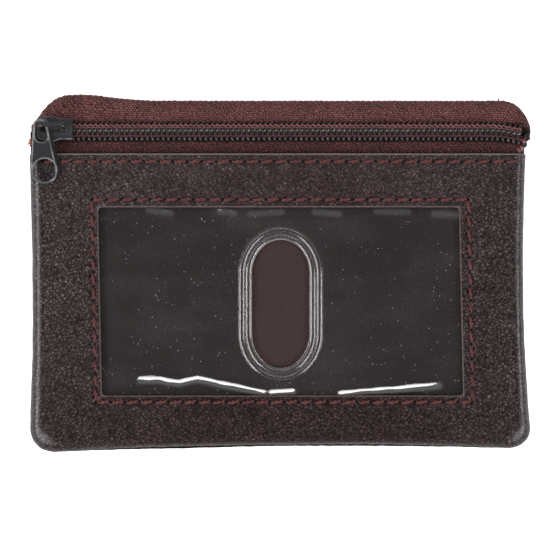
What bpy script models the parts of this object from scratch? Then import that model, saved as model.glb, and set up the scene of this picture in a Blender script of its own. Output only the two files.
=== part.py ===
"""Coin pouch wallet: a flat, zipped leather pouch with a clear card window, lying on its back.

X runs along the zip, +Y is the zip side and the window faces +Z. The origin is the middle of the base
of the pouch's bounding box. Every length is in metres.
"""

import math

import bmesh
import bpy
from mathutils import Vector

# Outline of the pouch, seen from the front
POUCH_WIDTH = 0.1150
POUCH_HEIGHT = 0.0801
BOTTOM_CORNER_RADIUS = 0.0065
TOP_CORNER_RADIUS = 0.0055
TOP_LEFT_RISE = 0.0014
TOP_RISE_PLACE_SHARE = -0.80
TOP_RISE_WIDTH_SHARE = 0.17
LEFT_BOTTOM_DRAW = 0.0007
LEFT_MIDDLE_DRAW = 0.0014
LEFT_TOP_DRAW = 0.0003
RIGHT_MIDDLE_DRAW = 0.0023
RIGHT_TOP_DRAW = 0.0007
BOTTOM_MIDDLE_DRAW = 0.0016
BOTTOM_RIGHT_DRAW = 0.0011
FRONT_BOTTOM_DRAW = 0.0007

# Sheet thicknesses and the spaces between the layers
LEATHER = 0.0010
LINING = 0.0003
FILM = 0.00025
TAPE = 0.00035
LAYER_GAP = 0.0003
CARD_SLOT = 0.0006
COIN_DEPTH = 0.0047
FIT_GAP = 0.0001

# Rolled edges and the turned seam
ROLL_WIDTH = 0.0035
CORNER_ROLL_EXTRA = 0.0014
BEND_RADIUS = 0.0012
SEAM_ALLOWANCE = 0.0030
LINING_EDGE_INSET = 0.0022
BACK_RISE = 0.0020
BACK_RISE_LENGTH = 0.0172
BACK_RISE_LINE_SHARES = (0.02, 0.25, 0.5, 0.75)

# Zip: distances across it are from the line where its two halves meet
ZIP_FROM_TOP = 0.00675
ZIP_SLOPE_DEGREES = 12.0
ZIP_HEIGHT = 0.0067
ZIP_SLIT = 0.0011
TAPE_SIDE_DRAW = 0.0007
TAPE_SIDE_ROLL = 0.0012
TAPE_TOP_ROLL = 0.0028
TAPE_HEM_FROM_FILM = 0.0014
TAPE_FLAP = 0.0045
COIL_HALF_WIDTH = 0.00195
COIL_HEIGHT = 0.0011
COIL_PITCH = 0.0012
COIL_TOOTH = 0.0005
COIL_TOOTH_REACH = 0.0006
COIL_TOOTH_START_SHARE = 0.25
COIL_END_INSET = 0.0021
CORD_RADIUS = 0.0002
CORD_CLEARANCE = 0.0001
COIL_STITCH_WIDTH = 0.0004
COIL_STITCH_THICK = 0.0002

# Edges of the leather either side of the zip
FRONT_EDGE_FROM_ZIP = 0.0052
TAPE_TUCK = 0.0006

# Window, its film and the thumb slot
WINDOW_WIDTH = 0.0816
WINDOW_HEIGHT = 0.0425
WINDOW_CENTRE_X = 0.00025
WINDOW_CENTRE_BELOW_EDGE = 0.0334
WINDOW_LEAN = 0.0009
WINDOW_CORNER_RADIUS = 0.0008
FILM_MARGIN = 0.0038
SLOT_WIDTH = 0.0134
SLOT_HEIGHT = 0.0294
SLOT_END = 0.0080
SLOT_DROP = 0.0005
BEAD_WIDTH = 0.0012
BEAD_VALLEY = 0.0003
BEAD_RISE = 0.0003
BEAD_SHOULDER = 0.0002
POCKET_EDGE_BELOW = 0.0020

# Slider, bail and puller
SLIDER_LENGTH = 0.0080
SLIDER_START = 0.0029
SLIDER_CROWN_BULGE = 0.0006
SLIDER_NOSE_HALF = 0.0022
SLIDER_CROWN_SHARE = 0.40
SLIDER_WAIST_SHARE = 0.66
SLIDER_STATION_SHARES = (0, 0.06, 0.14, 0.25, SLIDER_CROWN_SHARE, 0.48, 0.57, SLIDER_WAIST_SHARE, 1)
SLIDER_PLATE = 0.0008
SLIDER_LIP = 0.0004
SLIDER_BEVEL = 0.00025
RUNNING_GAP = 0.00015
NECK_WIDTH = 0.0008
NECK_LENGTH = 0.0015
NECK_FROM_NOSE = 0.0006
LOWER_PLATE_SET_BACK = 0.0006
BAIL_SECTION = 0.0009
BAIL_BAR = 0.0007
BAIL_FROM_NOSE = 0.00045
BAIL_SPAN = 0.0060
BAIL_OPENING = 0.0024
BAIL_CORNER = 0.0009
PULLER_THICK = 0.0011
PULLER_ABOVE_FACE = 0.0007
PULLER_LENGTH = 0.0099
PULLER_LEAN_DEGREES = 5.3
EYE_OUTER_RADIUS = 0.00175
EYE_SLOT_RADIUS = 0.00108
EYE_SLOT_FOOT_RADIUS = 0.00145
EYE_SLOT_LENGTH = 0.0021
FINGER_END_RADIUS = 0.00313
FINGER_HOLE_RADIUS = 0.00254
PULLER_RIM = 0.00045
PULLER_RING = 0.0003
PULLER_POCKET_DEPTH = 0.0002
PULLER_POCKET_TOP_SHARE = 0.72
PULLER_POCKET_BOTTOM_SHARE = 0.80

# Sewing
THREAD_RADIUS = 0.0002
THREAD_WAVE = 0.0001
STITCH_LENGTH = 0.0033
WINDOW_STITCH_LEFT = 0.0013
WINDOW_STITCH_RIGHT = 0.0020
WINDOW_STITCH_TOP = 0.0018
WINDOW_STITCH_BOTTOM = 0.0014
EDGE_STITCH_INSET = 0.0018
EDGE_STITCH_END = 0.0040
SEAM_THREAD_RADIUS = 0.00015
SEAM_THREAD_WAVE = 0.0001
SEAM_THREAD_INSET = 0.00045
SEAM_STITCH_LENGTH = 0.0030

# How finely curved shapes are divided
LEG_STEPS = 5
CORNER_STEPS = 6
BASE_STEPS = 12
ROLL_STEPS = 4
BEND_STEPS = 2
SLOT_STEPS = 9
ROUND_STEPS = 14
PULLER_ARC_STEPS = 7
FINGER_HOLE_STEPS = 18
WINDOW_CORNER_STEPS = 2
CORD_SIDES = 6
SMOOTH_DEGREES = 40
OVERRUN = 0.002

# Places worked out from the sizes
HALF_WIDTH = POUCH_WIDTH / 2
BOTTOM_Y = -(POUCH_HEIGHT + TOP_LEFT_RISE) / 2
TOP_Y = BOTTOM_Y + POUCH_HEIGHT
MIDDLE_Y = (TOP_Y + BOTTOM_Y) / 2
ZIP_Y = TOP_Y - ZIP_FROM_TOP
FRONT_EDGE_Y = ZIP_Y - FRONT_EDGE_FROM_ZIP
BACK_EDGE_Y = ZIP_Y + ZIP_SLIT / 2 - LAYER_GAP
ZIP_SLOPE = math.radians(ZIP_SLOPE_DEGREES)
BACK_LINING_Z = LEATHER + LAYER_GAP + TAPE + LAYER_GAP
POCKET_LINING_Z = BACK_LINING_Z + LINING + COIN_DEPTH
FILM_Z = POCKET_LINING_Z + LINING + CARD_SLOT
FACE_Z = FILM_Z + FILM + LAYER_GAP + LEATHER
SEAM_Z = FACE_Z / 2
BEND_Z = SEAM_Z + LAYER_GAP / 2 + BEND_RADIUS
FLAP_Z = LEATHER + LAYER_GAP
WINDOW_Y = FRONT_EDGE_Y - WINDOW_CENTRE_BELOW_EDGE
TAPE_HEM_Y = WINDOW_Y + WINDOW_HEIGHT / 2 + FILM_MARGIN + TAPE_HEM_FROM_FILM
POCKET_EDGE_Y = FRONT_EDGE_Y - POCKET_EDGE_BELOW

# The zip's own frame: x along the zip, y across it towards the top edge, z out of the tape
COIL_BASE = FIT_GAP
COIL_TOP = COIL_BASE + COIL_HEIGHT
COIL_STITCH_BASE = COIL_TOP + FIT_GAP
COIL_STITCH_TOP = COIL_STITCH_BASE + COIL_STITCH_THICK
UPPER_PLATE_BASE = COIL_STITCH_TOP + RUNNING_GAP
UPPER_PLATE_TOP = UPPER_PLATE_BASE + SLIDER_PLATE
LOWER_PLATE_TOP = -TAPE - RUNNING_GAP
LOWER_PLATE_BASE = LOWER_PLATE_TOP - SLIDER_PLATE
SLIDER_INNER_HALF = COIL_HALF_WIDTH + RUNNING_GAP
SLIDER_TAIL_HALF = SLIDER_INNER_HALF + SLIDER_LIP
SLIDER_CROWN_HALF = SLIDER_TAIL_HALF + SLIDER_CROWN_BULGE
SLIDER_NOSE_X = -HALF_WIDTH + SLIDER_START
BAIL_LEG_X = SLIDER_NOSE_X + BAIL_FROM_NOSE + BAIL_SECTION / 2
PULLER_BASE_Z = FACE_Z + PULLER_ABOVE_FACE


def clear_scene():
    """Take every object out of the scene, so that the pouch starts from nothing."""
    for old in list(bpy.data.objects):
        bpy.data.objects.remove(old, do_unlink=True)


def principled(name, colour, roughness, metallic=0.0, alpha=1.0):
    """A plain material with the piece's own colour and gloss."""
    material = bpy.data.materials.new(name)
    material.use_nodes = True
    shader = material.node_tree.nodes["Principled BSDF"]
    shader.inputs["Base Color"].default_value = (*colour, 1.0)
    shader.inputs["Roughness"].default_value = roughness
    shader.inputs["Metallic"].default_value = metallic
    shader.inputs["Alpha"].default_value = alpha
    return material


def add_object(name, data, material):
    """Put a mesh or curve in the scene under its piece's name."""
    piece = bpy.data.objects.new(name, data)
    bpy.context.scene.collection.objects.link(piece)
    data.materials.append(material)
    return piece


def finish_mesh(bm, name, material, smooth_angle=None):
    """Turn a closed bmesh into a named object, with round faces shaded smooth."""
    bmesh.ops.recalc_face_normals(bm, faces=bm.faces)
    mesh = bpy.data.meshes.new(name)
    bm.to_mesh(mesh)
    bm.free()
    if smooth_angle is not None:
        mesh.shade_smooth()
        mesh.set_sharp_from_angle(angle=math.radians(smooth_angle))
    return add_object(name, mesh, material)


def cut_or_join(piece, tool, operation):
    """Subtract a hidden tool from a piece, or join the tool to it."""
    tool.hide_render = True
    tool.display_type = "WIRE"
    boolean = piece.modifiers.new(tool.name, "BOOLEAN")
    boolean.object = tool
    boolean.operation = operation
    boolean.solver = "EXACT"


def through_three(first, middle, last, place):
    """The value at a place from -1 to 1 on the curve through three values at -1, 0 and 1."""
    ends = first * place * (place - 1) / 2 + last * place * (place + 1) / 2
    return ends + middle * (1 - place * place)


def ease(share):
    """A smooth step from 0 to 1."""
    share = min(max(share, 0.0), 1.0)
    return share * share * (3 - 2 * share)


def back_rise(y, z):
    """How far the back of the pouch rises towards the top edge at a height z."""
    rise = BACK_RISE * ease((y - (TOP_Y - BACK_RISE_LENGTH)) / BACK_RISE_LENGTH)
    return rise * min(max((SEAM_Z - z) / SEAM_Z, 0.0), 1.0)


def drawn(co, bottom_extra=0.0):
    """Move a point of the straight-sided outline to where the real, slightly waisted pouch has it."""
    u = co.x / HALF_WIDTH
    v = (co.y - MIDDLE_Y) / (POUCH_HEIGHT / 2)
    if u < 0:
        side = through_three(LEFT_BOTTOM_DRAW, LEFT_MIDDLE_DRAW, LEFT_TOP_DRAW, v)
    else:
        side = through_three(0, RIGHT_MIDDLE_DRAW, RIGHT_TOP_DRAW, v)
    x = co.x - side * u * abs(u)
    y = co.y
    if v < 0:
        y += through_three(0, BOTTOM_MIDDLE_DRAW, BOTTOM_RIGHT_DRAW, u) * v * v
        y += bottom_extra * (1 - u ** 4) * v * v
    bump = math.exp(-(((u - TOP_RISE_PLACE_SHARE) / TOP_RISE_WIDTH_SHARE) ** 2))
    y += TOP_LEFT_RISE * bump * ease((co.y - ZIP_Y - SLIDER_CROWN_HALF) / (ZIP_FROM_TOP - SLIDER_CROWN_HALF))
    return Vector((x, y, co.z + back_rise(co.y, co.z)))


def rim_path(half_width, base_y, leg_y, radius):
    """Places round three sides of the pouch, from the left leg's free end to the right leg's.

    Each is a point, its inward normal and its turn: 0 on a leg, a quarter turn on the base.
    """
    way = 1 if base_y < leg_y else -1
    corner_y = base_y + way * radius
    corner_x = half_width - radius
    left = []
    for step in range(LEG_STEPS):
        y = leg_y + (corner_y - leg_y) * step / LEG_STEPS
        left.append((Vector((-half_width, y)), Vector((1, 0)), 0.0))
    for step in range(CORNER_STEPS + 1):
        turn = math.pi / 2 * step / CORNER_STEPS
        inward = Vector((math.cos(turn), way * math.sin(turn)))
        left.append((Vector((-corner_x, corner_y)) - radius * inward, inward, turn))
    base = []
    for step in range(1, BASE_STEPS):
        x = -corner_x + 2 * corner_x * step / BASE_STEPS
        base.append((Vector((x, base_y)), Vector((0, way)), math.pi / 2))
    right = [(Vector((-p.x, p.y)), Vector((-n.x, n.y)), turn) for p, n, turn in reversed(left)]
    return left + base + right


def rim_row(bm, path, inset, roll_share, z, leg_roll, base_roll, corner_extra):
    """One row of vertices along a rim path, set in by a fixed length and a share of the local roll."""
    row = []
    for point, inward, turn in path:
        roll = leg_roll + (base_roll - leg_roll) * math.sin(turn) ** 2 + corner_extra * math.sin(2 * turn)
        place = point + inward * (inset + roll_share * roll)
        row.append(bm.verts.new((place.x, place.y, z)))
    return row


def bridge(bm, first, second, closed=False):
    """Quads between two rows of equally many vertices."""
    count = len(first)
    for i in range(count if closed else count - 1):
        j = (i + 1) % count
        bm.faces.new((first[i], first[j], second[j], second[i]))


def leather_profile():
    """Section of a rolled leather edge, as (inset, roll share, z), from its inner face to its outer face."""
    inner_rise = FACE_Z - LEATHER - BEND_Z
    allowance_z = BEND_Z - BEND_RADIUS
    profile = []
    for step in range(ROLL_STEPS, -1, -1):
        angle = math.pi / 2 * step / ROLL_STEPS
        away = math.cos(angle)
        profile.append((LEATHER * away, 1 - away, BEND_Z + inner_rise * math.sin(angle)))
    profile.append((BEND_RADIUS, 0, allowance_z + LEATHER))
    profile.append((SEAM_ALLOWANCE, 0, allowance_z + LEATHER))
    profile.append((SEAM_ALLOWANCE, 0, allowance_z))
    for step in range(BEND_STEPS, 0, -1):
        angle = math.pi / 2 * step / BEND_STEPS
        profile.append((BEND_RADIUS * (1 - math.cos(angle)), 0, BEND_Z - BEND_RADIUS * math.sin(angle)))
    for step in range(ROLL_STEPS + 1):
        angle = math.pi / 2 * step / ROLL_STEPS
        profile.append((0, 1 - math.cos(angle), BEND_Z + (FACE_Z - BEND_Z) * math.sin(angle)))
    return profile


def back_rise_lines(edge_y):
    """Heights up the pouch at which a sheet is divided so that it can follow the rise of the back."""
    start = TOP_Y - BACK_RISE_LENGTH
    return [start + (edge_y - start) * share for share in BACK_RISE_LINE_SHARES]


def grid_cuts(bm, lines):
    """Divide the flat faces along lines of constant y."""
    for y in lines:
        everything = bm.verts[:] + bm.edges[:] + bm.faces[:]
        bmesh.ops.bisect_plane(bm, geom=everything, plane_co=(0, y, 0), plane_no=(0, 1, 0))


def leather_panel(name, edge_y, is_back, material):
    """A leather sheet, flat on its face, whose sides and bottom roll round into a turned-in seam."""
    bm = bmesh.new()
    path = rim_path(HALF_WIDTH, BOTTOM_Y, edge_y, BOTTOM_CORNER_RADIUS)
    rows = []
    for inset, roll_share, z in leather_profile():
        height = FACE_Z - z if is_back else z
        row = rim_row(bm, path, inset, roll_share, height, ROLL_WIDTH, ROLL_WIDTH, CORNER_ROLL_EXTRA)
        rows.append(row)
    for first, second in zip(rows, rows[1:]):
        bridge(bm, first, second)
    bm.faces.new(rows[0])
    bm.faces.new(rows[-1])
    bm.faces.new([row[0] for row in rows] + [row[-1] for row in reversed(rows)])
    if is_back:
        grid_cuts(bm, back_rise_lines(edge_y))
    bmesh.ops.recalc_face_normals(bm, faces=bm.faces)
    for vertex in bm.verts:
        vertex.co = drawn(vertex.co, 0 if is_back else FRONT_BOTTOM_DRAW)
    return finish_mesh(bm, name, material, SMOOTH_DEGREES)


def slot_outline(grow):
    """The thumb slot's oval, grown outwards by a length, as points anticlockwise from its right side."""
    half = SLOT_WIDTH / 2 + grow
    end = SLOT_END + grow
    straight = SLOT_HEIGHT / 2 - SLOT_END
    centre = Vector((WINDOW_CENTRE_X, WINDOW_Y - SLOT_DROP))
    points = []
    for side in (1, -1):
        for step in range(SLOT_STEPS + 1):
            angle = math.pi * step / SLOT_STEPS
            points.append(centre + side * Vector((half * math.cos(angle), straight + end * math.sin(angle))))
    return points


def window_outline(left, right, top, bottom, radius):
    """The leaning window's outline, moved out by a length on each side, with small round corners."""
    centre_y = WINDOW_Y + (top - bottom) / 2
    half_height = WINDOW_HEIGHT / 2 + (top + bottom) / 2
    centre_x = WINDOW_CENTRE_X + (right - left) / 2
    half_width = WINDOW_WIDTH / 2 + (left + right) / 2
    points = []
    for quarter, (side_x, side_y) in enumerate(((1, 1), (-1, 1), (-1, -1), (1, -1))):
        for step in range(WINDOW_CORNER_STEPS + 1):
            angle = math.pi / 2 * (quarter + step / WINDOW_CORNER_STEPS)
            x = side_x * (half_width - radius) + radius * math.cos(angle)
            y = side_y * (half_height - radius) + radius * math.sin(angle)
            x -= WINDOW_LEAN * y / WINDOW_HEIGHT
            points.append(Vector((centre_x + x, centre_y + y)))
    return points


def loop_of(bm, outline, z):
    """A closed ring of vertices and edges at one height."""
    ring = [bm.verts.new((p.x, p.y, z)) for p in outline]
    edges = [bm.edges.new((ring[i], ring[(i + 1) % len(ring)])) for i in range(len(ring))]
    return ring, edges


def fill_between(bm, edge_lists):
    """Fill a flat face between an outer ring and the rings inside it."""
    edges = [edge for edges in edge_lists for edge in edges]
    bmesh.ops.triangle_fill(bm, edges=edges, use_beauty=True, use_dissolve=False)


def prism(name, outline, low, high, material, holes=()):
    """A plate of constant section, with straight holes through it."""
    bm = bmesh.new()
    low_edges = []
    high_edges = []
    for ring_outline in (outline, *holes):
        low_ring, edges = loop_of(bm, ring_outline, low)
        low_edges.append(edges)
        high_ring, edges = loop_of(bm, ring_outline, high)
        high_edges.append(edges)
        bridge(bm, low_ring, high_ring, closed=True)
    fill_between(bm, low_edges)
    fill_between(bm, high_edges)
    return finish_mesh(bm, name, material)


def front_panel(material):
    """The front leather, with the card window cut through it."""
    panel = leather_panel("front_panel", FRONT_EDGE_Y, False, material)
    outline = window_outline(0, 0, 0, 0, WINDOW_CORNER_RADIUS)
    cutter = prism("window_cutter", outline, FACE_Z - LEATHER - OVERRUN, FACE_Z + OVERRUN, material)
    cut_or_join(panel, cutter, "DIFFERENCE")


def window_film(material):
    """The clear film behind the window, with a thumb slot that has two welded beads round it."""
    bm = bmesh.new()
    margin = FILM_MARGIN
    outline = window_outline(margin, margin, margin, margin, WINDOW_CORNER_RADIUS)
    low_outer, low_outer_edges = loop_of(bm, outline, FILM_Z)
    high_outer, high_outer_edges = loop_of(bm, outline, FILM_Z + FILM)
    bridge(bm, low_outer, high_outer, closed=True)
    top = FILM_Z + FILM
    crest = top + BEAD_RISE
    second = BEAD_WIDTH + BEAD_VALLEY
    section = (
        (0, top),
        (BEAD_SHOULDER, crest),
        (BEAD_WIDTH - BEAD_SHOULDER, crest),
        (BEAD_WIDTH, top),
        (second, top),
        (second + BEAD_SHOULDER, crest),
        (second + BEAD_WIDTH - BEAD_SHOULDER, crest),
        (second + BEAD_WIDTH, top),
    )
    ring, low_inner_edges = loop_of(bm, slot_outline(0), FILM_Z)
    for grow, z in section:
        next_ring, next_edges = loop_of(bm, slot_outline(grow), z)
        bridge(bm, ring, next_ring, closed=True)
        ring = next_ring
    fill_between(bm, (low_outer_edges, low_inner_edges))
    fill_between(bm, (high_outer_edges, next_edges))
    finish_mesh(bm, "window_film", material, SMOOTH_DEGREES)


def lining_sheet(name, edge_y, z, material):
    """A flat fabric sheet whose sides and bottom reach the inside of the rolled leather."""
    bm = bmesh.new()
    path = rim_path(HALF_WIDTH, BOTTOM_Y, edge_y, BOTTOM_CORNER_RADIUS)
    low = rim_row(bm, path, LINING_EDGE_INSET, 0, z, 0, 0, 0)
    high = rim_row(bm, path, LINING_EDGE_INSET, 0, z + LINING, 0, 0, 0)
    bridge(bm, low, high, closed=True)
    bm.faces.new(low)
    bm.faces.new(high)
    if z < SEAM_Z:
        grid_cuts(bm, back_rise_lines(edge_y))
    for vertex in bm.verts:
        vertex.co = drawn(vertex.co, FRONT_BOTTOM_DRAW)
    finish_mesh(bm, name, material)


def zip_fall(y):
    """How far the zip's plane lies below or above its own middle line at a distance up the pouch."""
    return -(y - ZIP_Y) * math.tan(ZIP_SLOPE)


def upper_tape(material):
    """The upper zip tape: flat beside the teeth, folded over the top edge and back under the back panel."""
    bm = bmesh.new()
    edge_y = ZIP_Y + ZIP_SLIT / 2
    path = rim_path(HALF_WIDTH - TAPE_SIDE_DRAW, TOP_Y, edge_y, TOP_CORNER_RADIUS)
    middle = (ZIP_HEIGHT + FLAP_Z) / 2
    half = (ZIP_HEIGHT - FLAP_Z) / 2
    rolls = (TAPE_SIDE_ROLL, TAPE_TOP_ROLL, 0)
    outer = []
    inner = []
    for step in range(2 * ROLL_STEPS + 1):
        angle = math.pi / 2 * (1 - step / ROLL_STEPS)
        away = math.cos(angle)
        outer.append(rim_row(bm, path, 0, 1 - away, middle + half * math.sin(angle), *rolls))
        z = middle + (half - TAPE) * math.sin(angle)
        inner.append(rim_row(bm, path, TAPE * away, 1 - away, z, *rolls))
    for rows in (outer, inner):
        for first, second in zip(rows, rows[1:]):
            bridge(bm, first, second)
        bm.faces.new(rows[0])
        bm.faces.new(rows[-1])
    outer_mouth = [row[0] for row in outer] + [row[-1] for row in reversed(outer)]
    inner_mouth = [row[0] for row in inner] + [row[-1] for row in reversed(inner)]
    bridge(bm, outer_mouth, inner_mouth, closed=True)
    bmesh.ops.recalc_face_normals(bm, faces=bm.faces)
    for vertex in bm.verts:
        share = (vertex.co.z - FLAP_Z) / (ZIP_HEIGHT - FLAP_Z)
        vertex.co.z += zip_fall(vertex.co.y) * share
        vertex.co = drawn(vertex.co)
    tape = finish_mesh(bm, "zip_tape_upper", material, SMOOTH_DEGREES)
    flap = tape_flap(edge_y, material)
    cut_or_join(tape, flap, "UNION")


def tape_flap(edge_y, material):
    """The tape's hem that runs down inside the back panel, where the back row of stitches holds it."""
    bm = bmesh.new()
    half = HALF_WIDTH - LINING_EDGE_INSET - ROLL_WIDTH
    lines = [edge_y + TAPE, edge_y, edge_y - TAPE_FLAP / 2, edge_y - TAPE_FLAP]
    rows = []
    for y in lines:
        row = []
        for x, z in ((-half, FLAP_Z), (half, FLAP_Z), (half, FLAP_Z + TAPE), (-half, FLAP_Z + TAPE)):
            point = drawn(Vector((x, y, z)))
            row.append(bm.verts.new(point))
        rows.append(row)
    for first, second in zip(rows, rows[1:]):
        bridge(bm, first, second, closed=True)
    bm.faces.new(rows[0])
    bm.faces.new(rows[-1])
    return finish_mesh(bm, "tape_flap", material)


def lower_tape(material):
    """The lower zip tape: its exposed strip rolls into the side seams, and its hem lies under the leather."""
    bm = bmesh.new()
    half = HALF_WIDTH - TAPE_SIDE_DRAW
    tucked_half = HALF_WIDTH - LINING_EDGE_INSET - TAPE
    seam_top = SEAM_Z + LAYER_GAP / 2
    stations = []
    for step in range(ROLL_STEPS + 1):
        angle = math.pi / 2 * step / ROLL_STEPS
        away = math.cos(angle)
        outer_x = half - TAPE_SIDE_ROLL * (1 - away)
        inner_x = half - TAPE * away - TAPE_SIDE_ROLL * (1 - away)
        stations.append((outer_x, inner_x, math.sin(angle)))
    stations.append((0, 0, 1))
    stations += [(-outer_x, -inner_x, height) for outer_x, inner_x, height in reversed(stations[:-1])]
    lines = (
        (TAPE_HEM_Y, True),
        (FRONT_EDGE_Y - TAPE_TUCK, True),
        (FRONT_EDGE_Y + TAPE_TUCK, False),
        (ZIP_Y - ZIP_SLIT / 2, False),
    )
    rows = []
    for y, tucked in lines:
        top_z = ZIP_HEIGHT + zip_fall(max(y, FRONT_EDGE_Y))
        outer = []
        inner = []
        for outer_x, inner_x, height in stations:
            if tucked:
                x = outer_x * tucked_half / half
                outer.append(bm.verts.new((x, y, top_z)))
                inner.append(bm.verts.new((x, y, top_z - TAPE)))
            else:
                outer.append(bm.verts.new((outer_x, y, seam_top + (top_z - seam_top) * height)))
                inner.append(bm.verts.new((inner_x, y, seam_top + (top_z - TAPE - seam_top) * height)))
        rows.append(outer + inner[::-1])
    for first, second in zip(rows, rows[1:]):
        bridge(bm, first, second, closed=True)
    bm.faces.new(rows[0])
    bm.faces.new(rows[-1])
    bmesh.ops.recalc_face_normals(bm, faces=bm.faces)
    for vertex in bm.verts:
        vertex.co = drawn(vertex.co)
    finish_mesh(bm, "zip_tape_lower", material, SMOOTH_DEGREES)


def zip_frame():
    """An empty on the zip's middle line, tilted as the zip lies on the sloping top of the pouch."""
    frame = bpy.data.objects.new("zip_frame", None)
    bpy.context.scene.collection.objects.link(frame)
    frame.location = (0, ZIP_Y, ZIP_HEIGHT)
    frame.rotation_euler = (-ZIP_SLOPE, 0, 0)
    return frame


def coil_outline(side):
    """A half chain seen from the front: a rail with teeth that stop short of the middle line."""
    end = HALF_WIDTH - COIL_END_INSET
    tooth_base = ZIP_SLIT / 2 + COIL_TOOTH_REACH
    count = int(2 * end / COIL_PITCH)
    offset = 0 if side > 0 else COIL_PITCH / 2
    points = [Vector((-end, side * COIL_HALF_WIDTH)), Vector((-end, side * tooth_base))]
    for index in range(count):
        x = -end + offset + COIL_TOOTH / 2 + COIL_PITCH * (index + COIL_TOOTH_START_SHARE)
        if x + COIL_TOOTH > end:
            break
        points.append(Vector((x, side * tooth_base)))
        points.append(Vector((x, side * ZIP_SLIT / 2)))
        points.append(Vector((x + COIL_TOOTH, side * ZIP_SLIT / 2)))
        points.append(Vector((x + COIL_TOOTH, side * tooth_base)))
    points += [Vector((end, side * tooth_base)), Vector((end, side * COIL_HALF_WIDTH))]
    return points


def along_x(name, y, z, radius, half_length, material):
    """A straight rod along X."""
    bm = bmesh.new()
    rings = []
    for x in (-half_length, half_length):
        ring = []
        for index in range(CORD_SIDES):
            angle = 2 * math.pi * (index + 0.5) / CORD_SIDES
            ring.append(bm.verts.new((x, y + radius * math.cos(angle), z + radius * math.sin(angle))))
        rings.append(ring)
    bridge(bm, rings[0], rings[1], closed=True)
    bm.faces.new(rings[0])
    bm.faces.new(rings[1])
    return finish_mesh(bm, name, material, SMOOTH_DEGREES)


def box(name, low, high, material):
    """A plain block between two corners."""
    corners = ((low[0], low[1]), (high[0], low[1]), (high[0], high[1]), (low[0], high[1]))
    return prism(name, [Vector(corner) for corner in corners], low[2], high[2], material)


def half_chain(label, side, frame, materials):
    """One half of the zip's chain: its coil, the cord inside the coil and the row that sews it down."""
    end = HALF_WIDTH - COIL_END_INSET
    rail_inner = ZIP_SLIT / 2 + COIL_TOOTH_REACH
    rail_y = side * (rail_inner + COIL_HALF_WIDTH) / 2
    rail_z = COIL_BASE + COIL_HEIGHT / 2
    coil = prism("zip_coil_" + label, coil_outline(side), COIL_BASE, COIL_TOP, materials["coil"])
    bore_radius = CORD_RADIUS + CORD_CLEARANCE
    bore = along_x("cord_bore_" + label, rail_y, rail_z, bore_radius, end + OVERRUN, materials["coil"])
    cut_or_join(coil, bore, "DIFFERENCE")
    cord = along_x("filler_cord_" + label, rail_y, rail_z, CORD_RADIUS, end, materials["cord"])
    half = COIL_STITCH_WIDTH / 2
    low = (-end, rail_y - half, COIL_STITCH_BASE)
    high = (end, rail_y + half, COIL_STITCH_TOP)
    row = box("coil_stitching_" + label, low, high, materials["thread"])
    for piece in (coil, bore, cord, row):
        piece.parent = frame


def slider_half(x):
    """The slider's half width at a distance from its nose: a rounded crown that narrows to its tail."""
    crown = SLIDER_LENGTH * SLIDER_CROWN_SHARE
    waist = SLIDER_LENGTH * SLIDER_WAIST_SHARE
    if x < crown:
        share = math.sin(math.pi / 2 * x / crown)
        return SLIDER_NOSE_HALF + (SLIDER_CROWN_HALF - SLIDER_NOSE_HALF) * share
    return SLIDER_CROWN_HALF + (SLIDER_TAIL_HALF - SLIDER_CROWN_HALF) * ease((x - crown) / (waist - crown))


def slider_stations(start):
    """Distances from the nose at which the slider's section is drawn."""
    distances = [share * SLIDER_LENGTH for share in SLIDER_STATION_SHARES]
    return [start] + [distance for distance in distances if distance > start]


def loft_sections(name, sections, material):
    """A closed solid through equal sections."""
    bm = bmesh.new()
    rows = [[bm.verts.new(point) for point in section] for section in sections]
    for first, second in zip(rows, rows[1:]):
        bridge(bm, first, second, closed=True)
    bm.faces.new(rows[0])
    bm.faces.new(rows[-1])
    return finish_mesh(bm, name, material, SMOOTH_DEGREES)


def slider_body(frame, material):
    """The slider: an upper plate with lips, a lower plate, and the neck that joins them."""
    upper = []
    for x in slider_stations(0):
        half = max(slider_half(x), SLIDER_INNER_HALF + SLIDER_BEVEL)
        corner = half - SLIDER_BEVEL
        inner = SLIDER_INNER_HALF
        section = (
            (-corner, UPPER_PLATE_TOP), (corner, UPPER_PLATE_TOP), (half, UPPER_PLATE_TOP - SLIDER_BEVEL),
            (half, RUNNING_GAP), (inner, RUNNING_GAP), (inner, UPPER_PLATE_BASE),
            (-inner, UPPER_PLATE_BASE), (-inner, RUNNING_GAP), (-half, RUNNING_GAP),
            (-half, UPPER_PLATE_TOP - SLIDER_BEVEL),
        )
        upper.append([(SLIDER_NOSE_X + x, y, z) for y, z in section])
    body = loft_sections("slider_body", upper, material)
    lower = []
    for x in slider_stations(LOWER_PLATE_SET_BACK):
        half = slider_half(x)
        corner = half - SLIDER_BEVEL
        section = (
            (-half, LOWER_PLATE_TOP), (half, LOWER_PLATE_TOP), (half, LOWER_PLATE_BASE + SLIDER_BEVEL),
            (corner, LOWER_PLATE_BASE), (-corner, LOWER_PLATE_BASE), (-half, LOWER_PLATE_BASE + SLIDER_BEVEL),
        )
        lower.append([(SLIDER_NOSE_X + x, y, z) for y, z in section])
    plate = loft_sections("slider_lower_plate", lower, material)
    neck_start = SLIDER_NOSE_X + NECK_FROM_NOSE + LOWER_PLATE_SET_BACK
    low = (neck_start, -NECK_WIDTH / 2, LOWER_PLATE_TOP - SLIDER_PLATE / 2)
    high = (neck_start + NECK_LENGTH, NECK_WIDTH / 2, UPPER_PLATE_BASE + SLIDER_PLATE / 2)
    neck = box("slider_neck", low, high, material)
    cut_or_join(body, neck, "UNION")
    cut_or_join(body, plate, "UNION")
    for piece in (body, plate, neck):
        piece.parent = frame


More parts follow.
